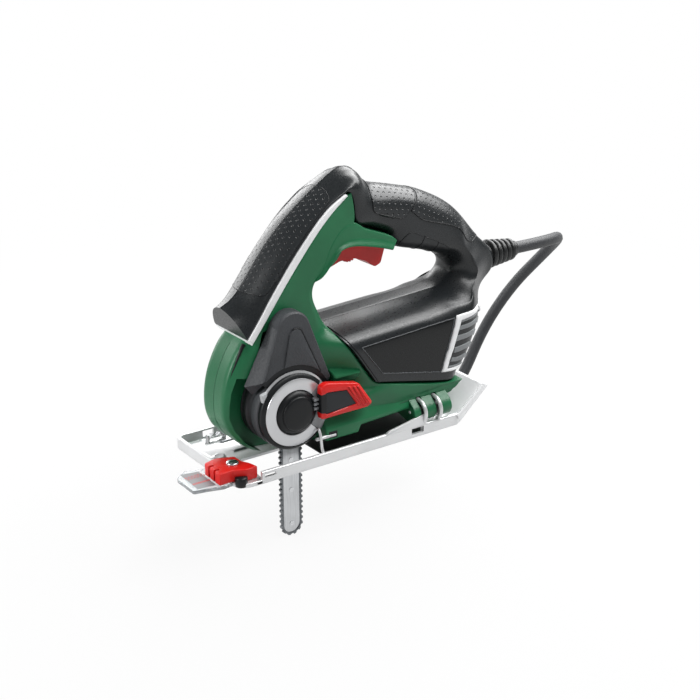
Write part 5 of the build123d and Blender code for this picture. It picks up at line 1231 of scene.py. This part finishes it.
FLOOR_Z = -0.0552
FLOOR_REACH = 9.0
LAMPS = [
    ("overhead_box", (0.9, 0.25, 1.0), (0.1, 0.03, 0.1), (1.5, 1.0), 38),
    ("back_box", (-0.05, 1.3, 0.4), (0.04, 0.03, 0.1), (1.4, 0.6), 11),
    ("front_left_box", (-1.2, 0.2, 0.55), (-0.02, 0.03, 0.06), (0.6, 0.5), 13),
    ("shoulder_strip", (0.35, -0.6, 1.15), (0.1, 0.0, 0.06), (1.2, 0.3), 12),
]


def hang_lamp(name, place, aim, size, power):
    """A soft rectangular lamp at a place, turned to face another."""
    light = bpy.data.lights.new(name, "AREA")
    light.shape = "RECTANGLE"
    light.size, light.size_y = size
    light.energy = power
    holder = bpy.data.objects.new(name, light)
    bpy.context.collection.objects.link(holder)
    holder.location = place
    holder.visible_camera = False
    turn = np.subtract(aim, place)
    flat = math.hypot(turn[0], turn[1])
    holder.rotation_euler = (math.atan2(flat, -turn[2]), 0, math.atan2(turn[1], turn[0]) - math.pi / 2)


def studio():
    """A wide pale floor that keeps the shadow, four soft lamps and a white surround."""
    reach, low = FLOOR_REACH, FLOOR_Z
    ground = bpy.data.meshes.new("studio_floor")
    ground.from_pydata([(-reach, -reach, low), (reach, -reach, low), (reach, reach, low),
        (-reach, reach, low)], [], [(0, 1, 2, 3)])
    floor = bpy.data.objects.new("studio_floor", ground)
    bpy.context.collection.objects.link(floor)
    paint = Paint("pale_floor")
    path = paint.put("LightPath")
    seen = paint.sums("MAXIMUM", paint.sums("MAXIMUM", path.outputs["Is Camera Ray"],
        path.outputs["Is Glossy Ray"]), path.outputs["Is Transmission Ray"])
    paint.fill(paint.shader, Base_Color=linear("b0b0b0"), Roughness=0.8)
    glow = paint.put("Emission", Strength=1.0)
    away = paint.put("VectorMath", {"operation": "LENGTH"},
        s0=paint.put("TexCoord").outputs["Object"]).outputs["Value"]
    share = paint.sums("MULTIPLY", seen, paint.ramp(away, 0.25, 0.9, 0.9, 1.0))
    mixed = paint.put("MixShader", s0=share, s1=paint.shader, s2=glow)
    paint.fill(paint.out, Surface=mixed)
    floor.data.materials.append(paint.material)

    world = bpy.data.worlds.new("white_surround")
    bpy.context.scene.world = world
    wires = Wiring(world)
    path = wires.put("LightPath")
    direct = wires.sums("MAXIMUM", path.outputs["Is Camera Ray"], path.outputs["Is Transmission Ray"])
    level = wires.put("MapRange", Value=direct, To_Min=0.2, To_Max=1.0)
    wires.fill(wires.tree.nodes["Background"], Strength=level, Color=(1, 1, 1, 1))
    for row in LAMPS:
        hang_lamp(*row)


studio()
